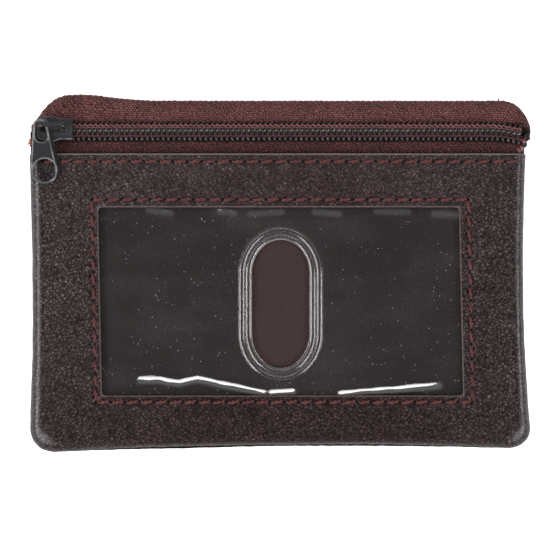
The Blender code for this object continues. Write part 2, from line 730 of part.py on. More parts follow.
def arch(left, right, height, corner, base):
    """An arch in the XZ plane, from its left foot over to its right foot, as (x, z) pairs."""
    points = [(left, base)]
    for step in range(CORNER_STEPS + 1):
        angle = math.pi / 2 * step / CORNER_STEPS
        points.append((left + corner * (1 - math.cos(angle)), base + height - corner * (1 - math.sin(angle))))
    return points + [(left + right - x, z) for x, z in reversed(points)]


def slider_bail(frame, material):
    """The bail: a strap bridge over the slider's upper plate, through which the puller's eye is threaded."""
    left = SLIDER_NOSE_X + BAIL_FROM_NOSE
    right = left + BAIL_SPAN
    base = UPPER_PLATE_TOP + FIT_GAP
    outer = arch(left, right, BAIL_OPENING + BAIL_BAR, BAIL_CORNER, base)
    inner_corner = max(BAIL_CORNER - BAIL_BAR, FIT_GAP)
    inner = arch(left + BAIL_SECTION, right - BAIL_SECTION, BAIL_OPENING, inner_corner, base)
    bm = bmesh.new()
    rows = []
    for y in (-BAIL_SECTION / 2, BAIL_SECTION / 2):
        rows.append([bm.verts.new((x, y, z)) for x, z in outer])
        rows.append([bm.verts.new((x, y, z)) for x, z in inner])
    near_outer, near_inner, far_outer, far_inner = rows
    for first, second in ((near_outer, near_inner), (far_inner, far_outer)):
        bridge(bm, first, second)
    for first, second in ((near_inner, far_inner), (far_outer, near_outer)):
        bridge(bm, first, second)
    for end in (0, -1):
        bm.faces.new((near_outer[end], near_inner[end], far_inner[end], far_outer[end]))
    bail = finish_mesh(bm, "slider_bail", material, SMOOTH_DEGREES)
    bail.parent = frame


def arc(centre, radius, start, end, steps):
    """Points on a circle between two angles in degrees, both ends included."""
    points = []
    for step in range(steps + 1):
        angle = math.radians(start + (end - start) * step / steps)
        points.append(Vector((centre[0] + radius * math.cos(angle), centre[1] + radius * math.sin(angle))))
    return points


def two_circle_outline(first_radius, second_y, second_radius):
    """Two circles on a line down from the origin, and the tangents between them."""
    lean = math.degrees(math.asin((second_radius - first_radius) / abs(second_y)))
    upper = arc((0, 0), first_radius, lean, 180 - lean, ROUND_STEPS)
    lower = arc((0, second_y), second_radius, 180 - lean, 360 + lean, ROUND_STEPS)
    return upper + lower


def puller_pocket():
    """The sunk panel between the puller's eye and its finger hole, left bare."""
    lean = math.asin((FINGER_END_RADIUS - EYE_OUTER_RADIUS) / PULLER_LENGTH)
    foot_y = -EYE_SLOT_LENGTH
    upper_radius = EYE_SLOT_FOOT_RADIUS + PULLER_RING
    ring_radius = FINGER_HOLE_RADIUS + PULLER_RING
    top_y = foot_y - upper_radius * PULLER_POCKET_TOP_SHARE
    bottom_y = -PULLER_LENGTH + ring_radius * PULLER_POCKET_BOTTOM_SHARE

    def side_x(y):
        return EYE_OUTER_RADIUS / math.cos(lean) - y * math.tan(lean) - PULLER_RIM

    top_sweep = math.degrees(math.acos(PULLER_POCKET_TOP_SHARE))
    bottom_sweep = math.degrees(math.acos(PULLER_POCKET_BOTTOM_SHARE))
    bottom_arc = arc((0, -PULLER_LENGTH), ring_radius, 90 + bottom_sweep, 90 - bottom_sweep, PULLER_ARC_STEPS)
    top_arc = arc((0, foot_y), upper_radius, 270 + top_sweep, 270 - top_sweep, PULLER_ARC_STEPS)
    side_top = min(side_x(top_y), side_x(foot_y))
    corners_right = [Vector((side_x(bottom_y), bottom_y)), Vector((side_top, top_y))]
    corners_left = [Vector((-side_top, top_y)), Vector((-side_x(bottom_y), bottom_y))]
    return bottom_arc + corners_right + top_arc + corners_left


def puller(material):
    """The pull tab: an eye slot round the bail's leg, a bare sunk panel and a finger hole."""
    leg_height = PULLER_BASE_Z + PULLER_THICK / 2 - ZIP_HEIGHT
    hinge = bpy.data.objects.new("puller_hinge", None)
    bpy.context.scene.collection.objects.link(hinge)
    hinge.location = (BAIL_LEG_X, ZIP_Y + leg_height * math.tan(ZIP_SLOPE), PULLER_BASE_Z)
    hinge.rotation_euler = (0, 0, math.radians(PULLER_LEAN_DEGREES))
    outline = two_circle_outline(EYE_OUTER_RADIUS, -PULLER_LENGTH, FINGER_END_RADIUS)
    lean = math.degrees(math.asin((EYE_SLOT_FOOT_RADIUS - EYE_SLOT_RADIUS) / EYE_SLOT_LENGTH))
    eye = arc((0, 0), EYE_SLOT_RADIUS, lean, 180 - lean, PULLER_ARC_STEPS)
    foot = (0, -EYE_SLOT_LENGTH)
    eye += arc(foot, EYE_SLOT_FOOT_RADIUS, 180 - lean, 360 + lean, PULLER_ARC_STEPS)
    finger = arc((0, -PULLER_LENGTH), FINGER_HOLE_RADIUS, 0, 360, FINGER_HOLE_STEPS)[:-1]
    bm = bmesh.new()
    low_edges = []
    high_edges = []
    for ring_outline in (outline, eye, finger):
        low_ring, edges = loop_of(bm, ring_outline, 0)
        low_edges.append(edges)
        high_ring, edges = loop_of(bm, ring_outline, PULLER_THICK)
        high_edges.append(edges)
        bridge(bm, low_ring, high_ring, closed=True)
    pocket = puller_pocket()
    rim_ring, edges = loop_of(bm, pocket, PULLER_THICK)
    high_edges.append(edges)
    floor_ring, edges = loop_of(bm, pocket, PULLER_THICK - PULLER_POCKET_DEPTH)
    bridge(bm, rim_ring, floor_ring, closed=True)
    bm.faces.new(floor_ring)
    fill_between(bm, low_edges)
    fill_between(bm, high_edges)
    tab = finish_mesh(bm, "puller", material, SMOOTH_DEGREES)
    tab.parent = hinge


def front_height(x, y):
    """Height of the front leather's outer face at a place near its top edge, where only its sides roll."""
    v = (y - MIDDLE_Y) / (POUCH_HEIGHT / 2)
    if x < 0:
        side = through_three(LEFT_BOTTOM_DRAW, LEFT_MIDDLE_DRAW, LEFT_TOP_DRAW, v)
    else:
        side = through_three(0, RIGHT_MIDDLE_DRAW, RIGHT_TOP_DRAW, v)
    inset = HALF_WIDTH - side - abs(x)
    if inset >= ROLL_WIDTH:
        return FACE_Z
    return BEND_Z + (FACE_Z - BEND_Z) * math.sin(math.acos(1 - inset / ROLL_WIDTH))


def thread(name, points, radius, material, closed=False):
    """One continuous sewing thread through a list of points."""
    curve = bpy.data.curves.new(name, "CURVE")
    curve.dimensions = "3D"
    curve.bevel_depth = radius
    curve.bevel_resolution = 0
    curve.use_fill_caps = True
    spline = curve.splines.new("POLY")
    spline.points.add(len(points) - 1)
    for target, point in zip(spline.points, points):
        target.co = (*point, 1)
    spline.use_cyclic_u = closed
    return add_object(name, curve, material)


def stitched(route, spacing, height_at, wave):
    """Points of a row of stitches along straight runs: low at each needle hole, high between."""
    points = []
    for start, end in zip(route, route[1:]):
        count = max(1, round((end - start).length / spacing))
        for index in range(2 * count):
            place = start + (end - start) * index / (2 * count)
            points.append((place.x, place.y, height_at(place) + (wave if index % 2 else 0)))
    return points


def edge_stitching(name, y, height_at, wave, material):
    """A straight row of stitches along a leather edge beside the zip."""
    half = HALF_WIDTH - EDGE_STITCH_END
    route = [Vector((-half, y)), Vector((half, y))]
    thread(name, stitched(route, STITCH_LENGTH, height_at, wave), THREAD_RADIUS, material)


def sewing(material):
    """The visible rows: along both leather edges and round the window."""
    above = FIT_GAP + THREAD_RADIUS

    def on_front(place):
        return front_height(place.x, place.y) + above

    def on_back(place):
        return back_rise(place.y, 0) - above

    edge_stitching("front_edge_stitching", FRONT_EDGE_Y - EDGE_STITCH_INSET, on_front, THREAD_WAVE, material)
    edge_stitching("back_edge_stitching", BACK_EDGE_Y - EDGE_STITCH_INSET, on_back, -THREAD_WAVE, material)
    sides = (WINDOW_STITCH_LEFT, WINDOW_STITCH_RIGHT, WINDOW_STITCH_TOP, WINDOW_STITCH_BOTTOM)
    corners = window_outline(*sides, 0)[::WINDOW_CORNER_STEPS + 1]
    points = stitched(corners + corners[:1], STITCH_LENGTH, on_front, THREAD_WAVE)
    thread("window_stitching", points, THREAD_RADIUS, material, closed=True)


def seam_thread(material):
    """The thread of the turned seam, lying in the valley between the two rolled leather edges."""
    path = rim_path(HALF_WIDTH, BOTTOM_Y, FRONT_EDGE_Y, BOTTOM_CORNER_RADIUS)
    places = [point + inward * SEAM_THREAD_INSET for point, inward, _ in path]
    lengths = [0]
    for first, second in zip(places, places[1:]):
        lengths.append(lengths[-1] + (second - first).length)
    count = 2 * round(lengths[-1] / SEAM_STITCH_LENGTH)
    points = []
    segment = 0
    for index in range(count + 1):
        distance = lengths[-1] * index / count
        while segment < len(places) - 2 and lengths[segment + 1] < distance:
            segment += 1
        share = (distance - lengths[segment]) / (lengths[segment + 1] - lengths[segment])
        place = places[segment].lerp(places[segment + 1], share)
        wave = SEAM_THREAD_WAVE if index % 2 else -SEAM_THREAD_WAVE
        points.append(drawn(Vector((place.x, place.y, SEAM_Z + wave))))
    thread("seam_thread", points, SEAM_THREAD_RADIUS, material)


def main():
    """Build every piece of the pouch."""
    clear_scene()
    leather = principled("leather", (0.045, 0.032, 0.033), 0.5)
    back_leather = principled("back_leather", (0.040, 0.028, 0.029), 0.5)
    lining = principled("lining", (0.030, 0.020, 0.019), 0.8)
    film = principled("film", (0.9, 0.9, 0.9), 0.08, alpha=0.35)
    tape = principled("tape", (0.110, 0.035, 0.045), 0.85)
    coil = principled("coil", (0.010, 0.010, 0.011), 0.35)
    cord = principled("cord", (0.020, 0.018, 0.018), 0.9)
    sewing_thread = principled("sewing_thread", (0.150, 0.040, 0.045), 0.7)
    metal = principled("slider_metal", (0.020, 0.021, 0.023), 0.35, metallic=0.6)
    front_panel(leather)
    leather_panel("back_panel", BACK_EDGE_Y, True, back_leather)
    window_film(film)
    lining_sheet("pocket_lining", POCKET_EDGE_Y, POCKET_LINING_Z, lining)
    lining_sheet("back_lining", BACK_EDGE_Y - LAYER_GAP, BACK_LINING_Z, lining)
    upper_tape(tape)
    lower_tape(tape)
    frame = zip_frame()
    chain = {"coil": coil, "cord": cord, "thread": sewing_thread}
    half_chain("upper", 1, frame, chain)
    half_chain("lower", -1, frame, chain)
    slider_body(frame, metal)
    slider_bail(frame, metal)
    puller(metal)
    sewing(sewing_thread)
    seam_thread(sewing_thread)


main()
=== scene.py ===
"""Looks of a flat, zipped leather coin pouch with a clear card window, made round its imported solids.

X runs along the zip, +Y is the zip side and the window faces +Z. Every length is in metres.
"""
import math
import random

import bmesh
import bpy
from mathutils import Matrix, Vector, noise


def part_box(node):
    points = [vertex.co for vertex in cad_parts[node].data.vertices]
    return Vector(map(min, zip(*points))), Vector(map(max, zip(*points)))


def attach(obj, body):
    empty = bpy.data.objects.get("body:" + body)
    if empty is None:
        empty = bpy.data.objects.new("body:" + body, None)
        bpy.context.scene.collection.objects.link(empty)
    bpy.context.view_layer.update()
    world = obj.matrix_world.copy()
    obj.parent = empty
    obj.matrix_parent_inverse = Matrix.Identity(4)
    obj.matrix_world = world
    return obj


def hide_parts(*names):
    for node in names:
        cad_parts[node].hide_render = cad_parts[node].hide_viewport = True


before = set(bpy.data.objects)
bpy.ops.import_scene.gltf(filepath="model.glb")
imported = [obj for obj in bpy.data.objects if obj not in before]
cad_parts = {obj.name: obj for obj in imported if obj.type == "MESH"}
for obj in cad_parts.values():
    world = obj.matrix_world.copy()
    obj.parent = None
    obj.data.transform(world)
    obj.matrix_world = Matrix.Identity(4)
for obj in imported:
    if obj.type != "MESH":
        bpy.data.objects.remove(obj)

bl_info = {
    "name": "Coin Pouch",
    "version": (1, 0, 0),
    "blender": (4, 5, 0),
    "location": "3D View > Sidebar > Pouch",
    "description": "Models a zipped leather coin pouch with a clear card window",
    "category": "Add Mesh",
}

MM = 0.001

# Outline of the pouch, and how far its sides are drawn in
HALF_WIDTH = 57.5 * MM
HEIGHT = 80.1 * MM
TOP_LEFT_RISE = 1.4 * MM
TOP_RISE_PLACE_SHARE = -0.80
TOP_RISE_WIDTH_SHARE = 0.17
BOTTOM_Y = -(HEIGHT + TOP_LEFT_RISE) / 2
TOP_Y = BOTTOM_Y + HEIGHT
MIDDLE_Y = (TOP_Y + BOTTOM_Y) / 2
LEFT_DRAW = (0.7 * MM, 1.4 * MM, 0.3 * MM)
RIGHT_DRAW = (0.0, 2.3 * MM, 0.7 * MM)
BOTTOM_DRAW = (0.0, 1.6 * MM, 1.1 * MM)
FRONT_BOTTOM_DRAW = 0.7 * MM
LEATHER_HOLD = 8
BACK_RISE = 2.0 * MM
BACK_RISE_LENGTH = 17.2 * MM
CORNER_RADIUS = 6.5 * MM
TOP_CORNER_RADIUS = 5.5 * MM
TOP_LEFT_CORNER_RADIUS = 8.8 * MM

# Heights of the layers
LEATHER = 1.0 * MM
LINING = 0.3 * MM
TAPE = 0.35 * MM
LAYER_GAP = 0.3 * MM
FLAP_Z = LEATHER + LAYER_GAP
BACK_LINING_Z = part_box("back_lining")[0].z
POCKET_LINING_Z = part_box("pocket_lining")[0].z
FILM_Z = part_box("window_film")[0].z
FACE_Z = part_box("front_panel")[1].z
SEAM_Z = FACE_Z / 2

# Rolled leather edges
ROLL_WIDTH = 3.5 * MM
CORNER_ROLL_EXTRA = 1.4 * MM
SHOULDER_DROP = 0.24 * MM
BEND_RADIUS = 1.2 * MM
BEND_Z = SEAM_Z + LAYER_GAP / 2 + BEND_RADIUS
SEAM_ALLOWANCE = 3.0 * MM
LINING_EDGE_INSET = 2.2 * MM
LINING_WAVE = 0.07 * MM
CLOTH_SPACING = 0.9 * MM
ALLOWANCE_RUN = SEAM_ALLOWANCE - BEND_RADIUS
BEND_RUN = math.pi / 2 * BEND_RADIUS
ROLL_RUN = math.pi / 2 * math.hypot(ROLL_WIDTH, FACE_Z - BEND_Z) / math.sqrt(2)
PATTERN_RUN = ALLOWANCE_RUN + BEND_RUN + ROLL_RUN
PATTERN_CORNER = CORNER_RADIUS + PATTERN_RUN - ROLL_WIDTH
CORNER_X = HALF_WIDTH - CORNER_RADIUS
CORNER_Y = BOTTOM_Y + CORNER_RADIUS

# Relief of the leather: sewn-down rows with a welt beside them, and puckers at the turned seam
ROW_SINK = 0.10 * MM
HOLE_SINK = 0.16 * MM
ROW_SINK_REACH = 0.45 * MM
ROW_WELT = 0.07 * MM
ROW_WELT_OFF = 1.2 * MM
ROW_WELT_REACH = 0.6 * MM
SEAM_PUCKER = 0.16 * MM
PUCKER_TOP_Z = BEND_Z + 1.5 * MM
CUT_ROUND = 0.30 * MM
CUT_SINK = 0.22 * MM

# Mesh lines of the leather: close together along the rows of stitches, wide apart in the window
SEWN_SPACING = 0.24 * MM
CUT_AWAY_SPACING = 0.9 * MM
SEWN_REACH = 1.0 * MM
SEWN_OUT = {"left": 2.2 * MM, "right": 2.8 * MM, "bottom": 2.4 * MM, "top": 2.7 * MM}

# Zip: the line where its halves meet, its slope, and the edges of the leather beside it
ZIP_Y = TOP_Y - 6.75 * MM
ZIP_HEIGHT = 6.7 * MM
ZIP_SLOPE = math.radians(12)
ZIP_SLIT = 1.1 * MM
ZIP_DIP = 0.95 * MM
END_BULGE = 1.3 * MM
END_BULGE_HEIGHT = 3.0 * MM
ZIP_DIP_START = 48.5 * MM
ZIP_DIP_RUN = 7.0 * MM
FRONT_EDGE_Y = ZIP_Y - 5.2 * MM
BACK_EDGE_Y = ZIP_Y + ZIP_SLIT / 2 - LAYER_GAP
TAPE_SIDE_DRAW = 0.7 * MM
TAPE_SIDE_ROLL = 1.2 * MM
TAPE_TOP_ROLL = 2.8 * MM
TAPE_FLAP = 4.5 * MM
TAPE_TUCK = 0.6 * MM
TAPE_HEM_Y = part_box("zip_tape_lower")[0].y
TAPE_START = 0.15 * MM
TAPE_SPACING = 0.30 * MM
TAPE_WAVE = 0.05 * MM
LOWER_TAPE_WAVE = 0.06 * MM
FOLD_RIB = 1.2 * MM
FOLD_RIB_RISE = 0.13 * MM
FOLD_FUZZ_RISE = 0.08 * MM
COIL_END = HALF_WIDTH - 2.1 * MM
COIL_BASE = 0.1 * MM
COIL_HEIGHT = 1.1 * MM
COIL_OUTER = {1: 2.1 * MM, -1: 2.35 * MM}
HEAD_REACH = 0.35 * MM
TURN_SIDES = 6
TURN_STEPS = 12
THREAD_MIDDLE = {1: 0.92 * MM, -1: 1.22 * MM}
# The lower coil's threads are a darker copy of the same thread: painted shade.
LOWER_THREAD_SHADE = 0.42
UPPER_PLATE_BASE = 1.65 * MM
UPPER_PLATE_TOP = 2.45 * MM
LOWER_PLATE_TOP = -0.5 * MM
LOWER_PLATE_BASE = -1.3 * MM
ZIP_FRAME = Matrix.Translation((0, ZIP_Y, ZIP_HEIGHT)) @ Matrix.Rotation(-ZIP_SLOPE, 4, "X")

# Window, film and thumb slot
WINDOW_WIDTH = 81.6 * MM
WINDOW_HEIGHT = 42.5 * MM
WINDOW_X = 0.25 * MM
WINDOW_Y = FRONT_EDGE_Y - 33.4 * MM
WINDOW_LEAN = 0.9 * MM
WINDOW_CORNER = 0.8 * MM
FILM_MARGIN = 3.8 * MM
SLOT_HALF_WIDTH = 6.7 * MM
SLOT_HALF_HEIGHT = 14.7 * MM
SLOT_END = 8.0 * MM
SLOT_CENTRE = Vector((WINDOW_X, WINDOW_Y - 0.5 * MM))
BEAD_WIDTH = 1.2 * MM
BEAD_VALLEY = 0.3 * MM
BEAD_RISE = 0.3 * MM
STREAK = 0.30
CREASE_WIDTH = 0.86 * MM
BENT_WIDTH = 0.62 * CREASE_WIDTH
BENT_RISE = 0.2 * MM
BENT_GAIN = 1.8
BENT_BEADS = 0.03

# Slider, bail and puller
SLIDER_LENGTH = 8.0 * MM
SLIDER_NOSE_X = -HALF_WIDTH + 2.9 * MM
SLIDER_NOSE_HALF = 2.2 * MM
SLIDER_INNER_HALF = 2.1 * MM
SLIDER_TAIL_HALF = 2.5 * MM
SLIDER_CROWN_HALF = 3.1 * MM
SLIDER_CROWN = 0.40 * SLIDER_LENGTH
SLIDER_WAIST = 0.66 * SLIDER_LENGTH
ROOF_DROP = 0.42 * MM
RIM_SEGMENTS = 3
CASTING_SHARP = 35
BAIL_FROM_NOSE = 0.45 * MM
BAIL_SECTION = 0.9 * MM
BAIL_BAR = 0.7 * MM
BAIL_SPAN = 6.0 * MM
BAIL_OPENING = 2.4 * MM
BAIL_LEG_X = SLIDER_NOSE_X + BAIL_FROM_NOSE + BAIL_SECTION / 2
PULLER_BASE_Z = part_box("puller")[0].z
PULLER_THICK = 1.1 * MM
PULLER_FLOOR = PULLER_THICK - 0.22 * MM
PULLER_RIM = 0.20 * MM
PULLER_LENGTH = 9.9 * MM
PULLER_LEAN = math.radians(5.3)
EYE_OUTER = 1.75 * MM
EYE_HOLE = 1.08 * MM
EYE_FOOT = 1.45 * MM
EYE_DROP = 2.1 * MM
FINGER_END = 3.13 * MM
FINGER_HOLE = 2.54 * MM

# Rows of stitches, each from its first needle hole to its last
EDGE_ROW_Y = FRONT_EDGE_Y - 1.8 * MM
EDGE_ROW_LEFT = -53.4 * MM
EDGE_ROW_RIGHT = 54.2 * MM
HOLE_RADIUS = 0.47 * MM
STITCH_DIP = 0.22 * MM
PLY_TURNS = 1.2
WINDOW_ROWS_OUT = {"left": 1.3 * MM, "right": 2.0 * MM, "top": 1.8 * MM, "bottom": 1.4 * MM}

# The photograph's view
CAMERA_X = -1.02 * MM
CAMERA_LENS = 135.0
CAMERA_SENSOR = 36.0
FRAME_WIDTH = 124.63 * MM
FOCUS_HEIGHT = 7.0 * MM
CLIP_START = 0.01

# Studio: soft lamps with their place, width, height and power, and the band of light round the pouch
SOFTBOXES = (
    ("key_light", (-0.10, 0.28, 0.64), 0.90, 0.24, 0.80),
    ("left_light", (-0.46, -0.19, 0.40), 0.62, 0.34, 2.6),
    ("right_light", (0.46, -0.23, 0.40), 0.58, 0.32, 2.15),
)
STUDIO_DARK = 0.10
STUDIO_BRIGHT = 0.80
STUDIO_BAND = ((0.44, STUDIO_DARK), (0.50, STUDIO_BRIGHT), (0.64, STUDIO_BRIGHT), (0.70, STUDIO_DARK))
FLOOR_HALF = 3.0
FLOOR_DROP = 0.02 * MM
FLOOR_GLOW = 0.92


def length_property(name, description, millimetres):
    """A length of the finish that a user can change."""
    return bpy.props.FloatProperty(
        name=name, description=description, default=millimetres * MM, min=0.02 * MM, unit="LENGTH")


class PouchSizes(bpy.types.PropertyGroup):
    """Sizes of the finish that can be changed without changing the solids."""

    leather_spacing: length_property("Leather spacing", "Distance between the leather's mesh lines", 0.46)
    leather_swell: length_property("Leather swell", "Height of the leather's hollows and swellings", 0.16)
    grain: length_property("Grain", "Width of a pebble of the leather's grain", 0.57)
    stitch: length_property("Stitch", "Distance between two needle holes", 3.3)
    seam_stitch: length_property("Seam stitch", "Distance between two stitches of the turned seam", 3.0)
    thread: length_property("Thread", "Diameter of the sewing thread", 0.74)
    weave: length_property("Weave", "Length of one rib of the zip tape's weave", 0.64)
    coil_pitch: length_property("Coil pitch", "Distance between two teeth of the zip", 1.2)
    coil_wire: length_property("Coil filament", "Diameter of the filament of the zip's coils", 0.46)
    film: length_property("Film", "Thickness of the clear film", 0.25)
    film_wave: length_property("Film wave", "Height of the film's soft waves", 0.10)


def colour_property(name, description, default):
    """A colour that a user can change, in linear light."""
    return bpy.props.FloatVectorProperty(
        name=name, description=description, default=default, size=3, min=0, max=1, subtype="COLOR")


class PouchColours(bpy.types.PropertyGroup):
    """Colours of the pouch's finishes."""

    leather: colour_property("Leather", "Body of the leather", (0.092, 0.061, 0.062))
    leather_red: colour_property("Leather, warm", "Redder parts of the leather", (0.060, 0.031, 0.030))
    # leather_grey is also the colour of painted highlights: the specks' glints, the light roll edges and the
    # cut edge along the zip.
    leather_grey: colour_property("Leather, worn", "Specks and worn places", (0.34, 0.31, 0.30))
    leather_cut: colour_property("Leather, cut", "Raw cut edge of the leather", (0.165, 0.138, 0.127))
    # leather_hole is painted shade: the near-black colour of the needle holes' depth.
    leather_hole: colour_property("Leather, holes", "Inside of the needle holes", (0.004, 0.003, 0.003))
    lining: colour_property("Lining", "Twill lining", (0.040, 0.020, 0.0185))
    tape_light: colour_property("Tape, light yarn", "Raised yarn of the zip tape", (0.41, 0.166, 0.158))
    tape_dark: colour_property("Tape, dark yarn", "Ground of the zip tape", (0.032, 0.008, 0.009))
    tape_fuzz: colour_property("Tape, fuzz", "Loose fibres at the tape's fold and ends", (0.50, 0.22, 0.13))
    coil: colour_property("Coil", "Moulded filament of the zip's teeth", (0.012, 0.012, 0.014))
    # Light colour of the coils: real dust, and painted glints on the turns' tops.
    coil_dust_and_glint: colour_property("Coil, worn", "Rubbed and dusty turns of the coils", (0.42, 0.42, 0.43))
    thread: colour_property("Thread", "Sewing thread", (0.25, 0.082, 0.080))
    zip_thread: colour_property("Zip thread", "Thread that ties the coils to the tape", (0.31, 0.132, 0.128))
    loose_thread: colour_property("Loose thread", "Frayed tips at the zip's left end", (0.55, 0.16, 0.09))
    metal: colour_property("Metal", "Paint of the slider, bail and puller", (0.021, 0.022, 0.026))
    metal_worn: colour_property("Metal, worn", "Edges where the paint is rubbed thin", (0.42, 0.42, 0.43))
    film_haze: colour_property("Film haze", "Dust and rub marks on the clear film", (0.52, 0.44, 0.45))
    floor: colour_property("Floor", "Pale floor", (0.90, 0.90, 0.90))


def maths(operation, reflected=False):
    """A method that adds one Math node on a wire and the other values it is given."""
    def method(self, *others):
        values = (*others, self) if reflected else (self, *others)
        return self.finish.math(operation, *values)
    return method


class Wire:
    """One value in a material's nodes. Arithmetic on it adds the Math nodes that work it out."""

    def __init__(self, finish, socket):
        self.finish = finish
        self.socket = socket

    __add__ = maths("ADD")
    __radd__ = maths("ADD", True)
    __sub__ = maths("SUBTRACT")
    __rsub__ = maths("SUBTRACT", True)
    __mul__ = maths("MULTIPLY")
    __rmul__ = maths("MULTIPLY", True)
    __truediv__ = maths("DIVIDE")
    sine = maths("SINE")
    whole = maths("FLOOR")
    fraction = maths("FRACT")
    highest = maths("MAXIMUM")
    lowest = maths("MINIMUM")

    def step(self, low, high):
        """A smooth rise from 0 at low to 1 at high; it falls if low is above high."""
        sockets = {0: self, 1: min(low, high), 2: max(low, high), 3: float(low > high), 4: float(high > low)}
        return self.finish.node("ShaderNodeMapRange", {"interpolation_type": "SMOOTHSTEP"}, sockets)


class Finish:
    """A material in the making."""

    def __init__(self, name):
        self.material = bpy.data.materials.new(name)
        self.material.use_nodes = True
        self.tree = self.material.node_tree
        self.tree.nodes.clear()

    def node(self, kind, settings=None, sockets=None, output=0):
        """Add a node: its settings, then the values or links of its sockets. Gives one of its outputs."""
        made = self.tree.nodes.new(kind)
        for name, value in (settings or {}).items():
            setattr(made, name, value)
        for key, value in (sockets or {}).items():
            if isinstance(value, Wire):
                self.tree.links.new(value.socket, made.inputs[key])
            else:
                made.inputs[key].default_value = value
        return Wire(self, made.outputs[output])

    def math(self, operation, *values):
        """A Math node on wires and plain numbers."""
        return self.node("ShaderNodeMath", {"operation": operation}, dict(enumerate(values)))

    def mix(self, share, first, second, blend="MIX"):
        """A colour between two colours."""
        sockets = {0: share, 6: as_colour(first), 7: as_colour(second)}
        settings = {"data_type": "RGBA", "blend_type": blend}
        return self.node("ShaderNodeMix", settings, sockets, 2)

    def shaded(self, colour, level):
        """A colour made darker or lighter by a level, which may be above 1."""
        grey = self.node("ShaderNodeCombineColor", sockets={0: level, 1: level, 2: level})
        return self.mix(1.0, colour, grey, "MULTIPLY")

    def place(self, kind="Object"):
        """The point being shaded, on the object or on its UV map."""
        return self.node("ShaderNodeTexCoord", output=kind)

    def axes(self, vector):
        """The X, Y and Z of a vector."""
        parts = self.node("ShaderNodeSeparateXYZ", sockets={0: vector})
        return [Wire(self, socket) for socket in parts.socket.node.outputs]

    def mapped(self, vector, stretch=(1, 1, 1), turn=0.0):
        """A pattern's own place: turned about Z, with its features stretched along its own axes."""
        sockets = {"Vector": vector, "Rotation": (0, 0, turn), "Scale": stretch}
        return self.node("ShaderNodeMapping", {"vector_type": "TEXTURE"}, sockets)

    def clouds(self, vector, size, detail=2.0, roughness=0.5):
        """Soft noise with features about one size across."""
        sockets = {"Vector": vector, "Scale": 1 / size, "Detail": detail, "Roughness": roughness}
        return self.node("ShaderNodeTexNoise", sockets=sockets)

    def cells(self, vector, size, feature="F1"):
        """A pattern of cells of one size: the distance from their middles, or from their edges."""
        sockets = {"Vector": vector, "Scale": 1 / size}
        return self.node("ShaderNodeTexVoronoi", {"feature": feature}, sockets)

    def jittered(self, vector, size, reach):
        """A place shaken about by soft noise, so that a pattern on it is less even."""
        shake = self.node("ShaderNodeTexNoise", sockets={"Vector": vector, "Scale": 1 / size}, output=1)
        sockets = {0: shake, 1: (reach, reach, reach), 2: vector}
        return self.node("ShaderNodeVectorMath", {"operation": "MULTIPLY_ADD"}, sockets)

    def ribs(self, value, pitch=1.0):
        """Ribs across a value: a wave between 0 and 1 that comes back after each pitch."""
        return (value * (2 * math.pi / pitch)).sine() * 0.5 + 0.5

    def attribute(self, name):
        """A value that the mesh carries at each vertex."""
        return self.node("ShaderNodeAttribute", {"attribute_name": name}, output=2)

    def bump(self, height, distance, strength=1.0):
        """A surface normal raised by a height between 0 and 1."""
        sockets = {"Strength": strength, "Distance": distance, "Height": height}
        return self.node("ShaderNodeBump", sockets=sockets)

    def principled(self, **sockets):
        """The surface itself; underscores stand for the spaces of a socket's name."""
        named = {name.replace("_", " "): value for name, value in sockets.items()}
        if isinstance(named.get("Base Color"), tuple):
            named["Base Color"] = as_colour(named["Base Color"])
        return self.node("ShaderNodeBsdfPrincipled", sockets=named)

    def surface(self, **sockets):
        """Give the material a plain surface with these sockets."""
        return self.shown(self.principled(**sockets))

    def shown(self, shader):
        """Give the material this surface."""
        output = self.tree.nodes.new("ShaderNodeOutputMaterial")
        self.tree.links.new(shader.socket, output.inputs["Surface"])
        return self.material


def as_colour(value):
    """A plain colour with its alpha, or a wire as it is."""
    return value if isinstance(value, Wire) else (*value[:3], 1.0)


def through_three(values, place):
    """The value at a place from -1 to 1 on the curve through three values at -1, 0 and 1."""
    first, middle, last = values
    return first * place * (place - 1) / 2 + last * place * (place + 1) / 2 + middle * (1 - place * place)


def ease(share):
    """A smooth step from 0 to 1."""
    share = min(max(share, 0.0), 1.0)
    return share * share * (3 - 2 * share)


def hump(distance, width):
    """A smooth hump of height 1 at distance 0."""
    return math.exp(-((distance / width) ** 2))


def ripple(x, y, z, size, seed=0.0):
    """Soft, repeatable unevenness between about -1 and 1, with features of one size."""
    return noise.noise(Vector((x / size + seed, y / size - seed, z / size + 2 * seed)))


def side_draw(u, v):
    """How far a side of the pouch is drawn in at a height v."""
    return through_three(LEFT_DRAW if u < 0 else RIGHT_DRAW, v)


def drawn(x, y, z, bottom_extra=0.0, hold=2):
    """Move a point of the straight-sided outline to where the real, slightly waisted pouch has it.

    The higher the hold, the closer to the outline the change stays.
    """
    u = x / HALF_WIDTH
    v = (y - MIDDLE_Y) / (HEIGHT / 2)
    new_y = y
    if v < 0:
        new_y += (through_three(BOTTOM_DRAW, u) + bottom_extra * (1 - u ** 4)) * abs(v) ** hold
    bump = hump(u - TOP_RISE_PLACE_SHARE, TOP_RISE_WIDTH_SHARE)
    rise_start = ZIP_Y + SLIDER_CROWN_HALF
    new_y += TOP_LEFT_RISE * bump * ease((y - rise_start) / (TOP_Y - rise_start))
    lift = BACK_RISE * ease((y - (TOP_Y - BACK_RISE_LENGTH)) / BACK_RISE_LENGTH)
    new_z = z + lift * min(max((SEAM_Z - z) / SEAM_Z, 0.0), 1.0)
    return Vector((x - math.copysign(side_draw(u, v) * abs(u) ** hold, u), new_y, new_z))


def face_height(x, y):
    """Height of the front leather's outer face, away from its bottom roll."""
    v = (y - MIDDLE_Y) / (HEIGHT / 2)
    inset = HALF_WIDTH - side_draw(x, v) - abs(x)
    if inset >= ROLL_WIDTH:
        return FACE_Z
    return BEND_Z + (FACE_Z - BEND_Z) * math.sin(math.acos(min(1.0, 1 - inset / ROLL_WIDTH)))


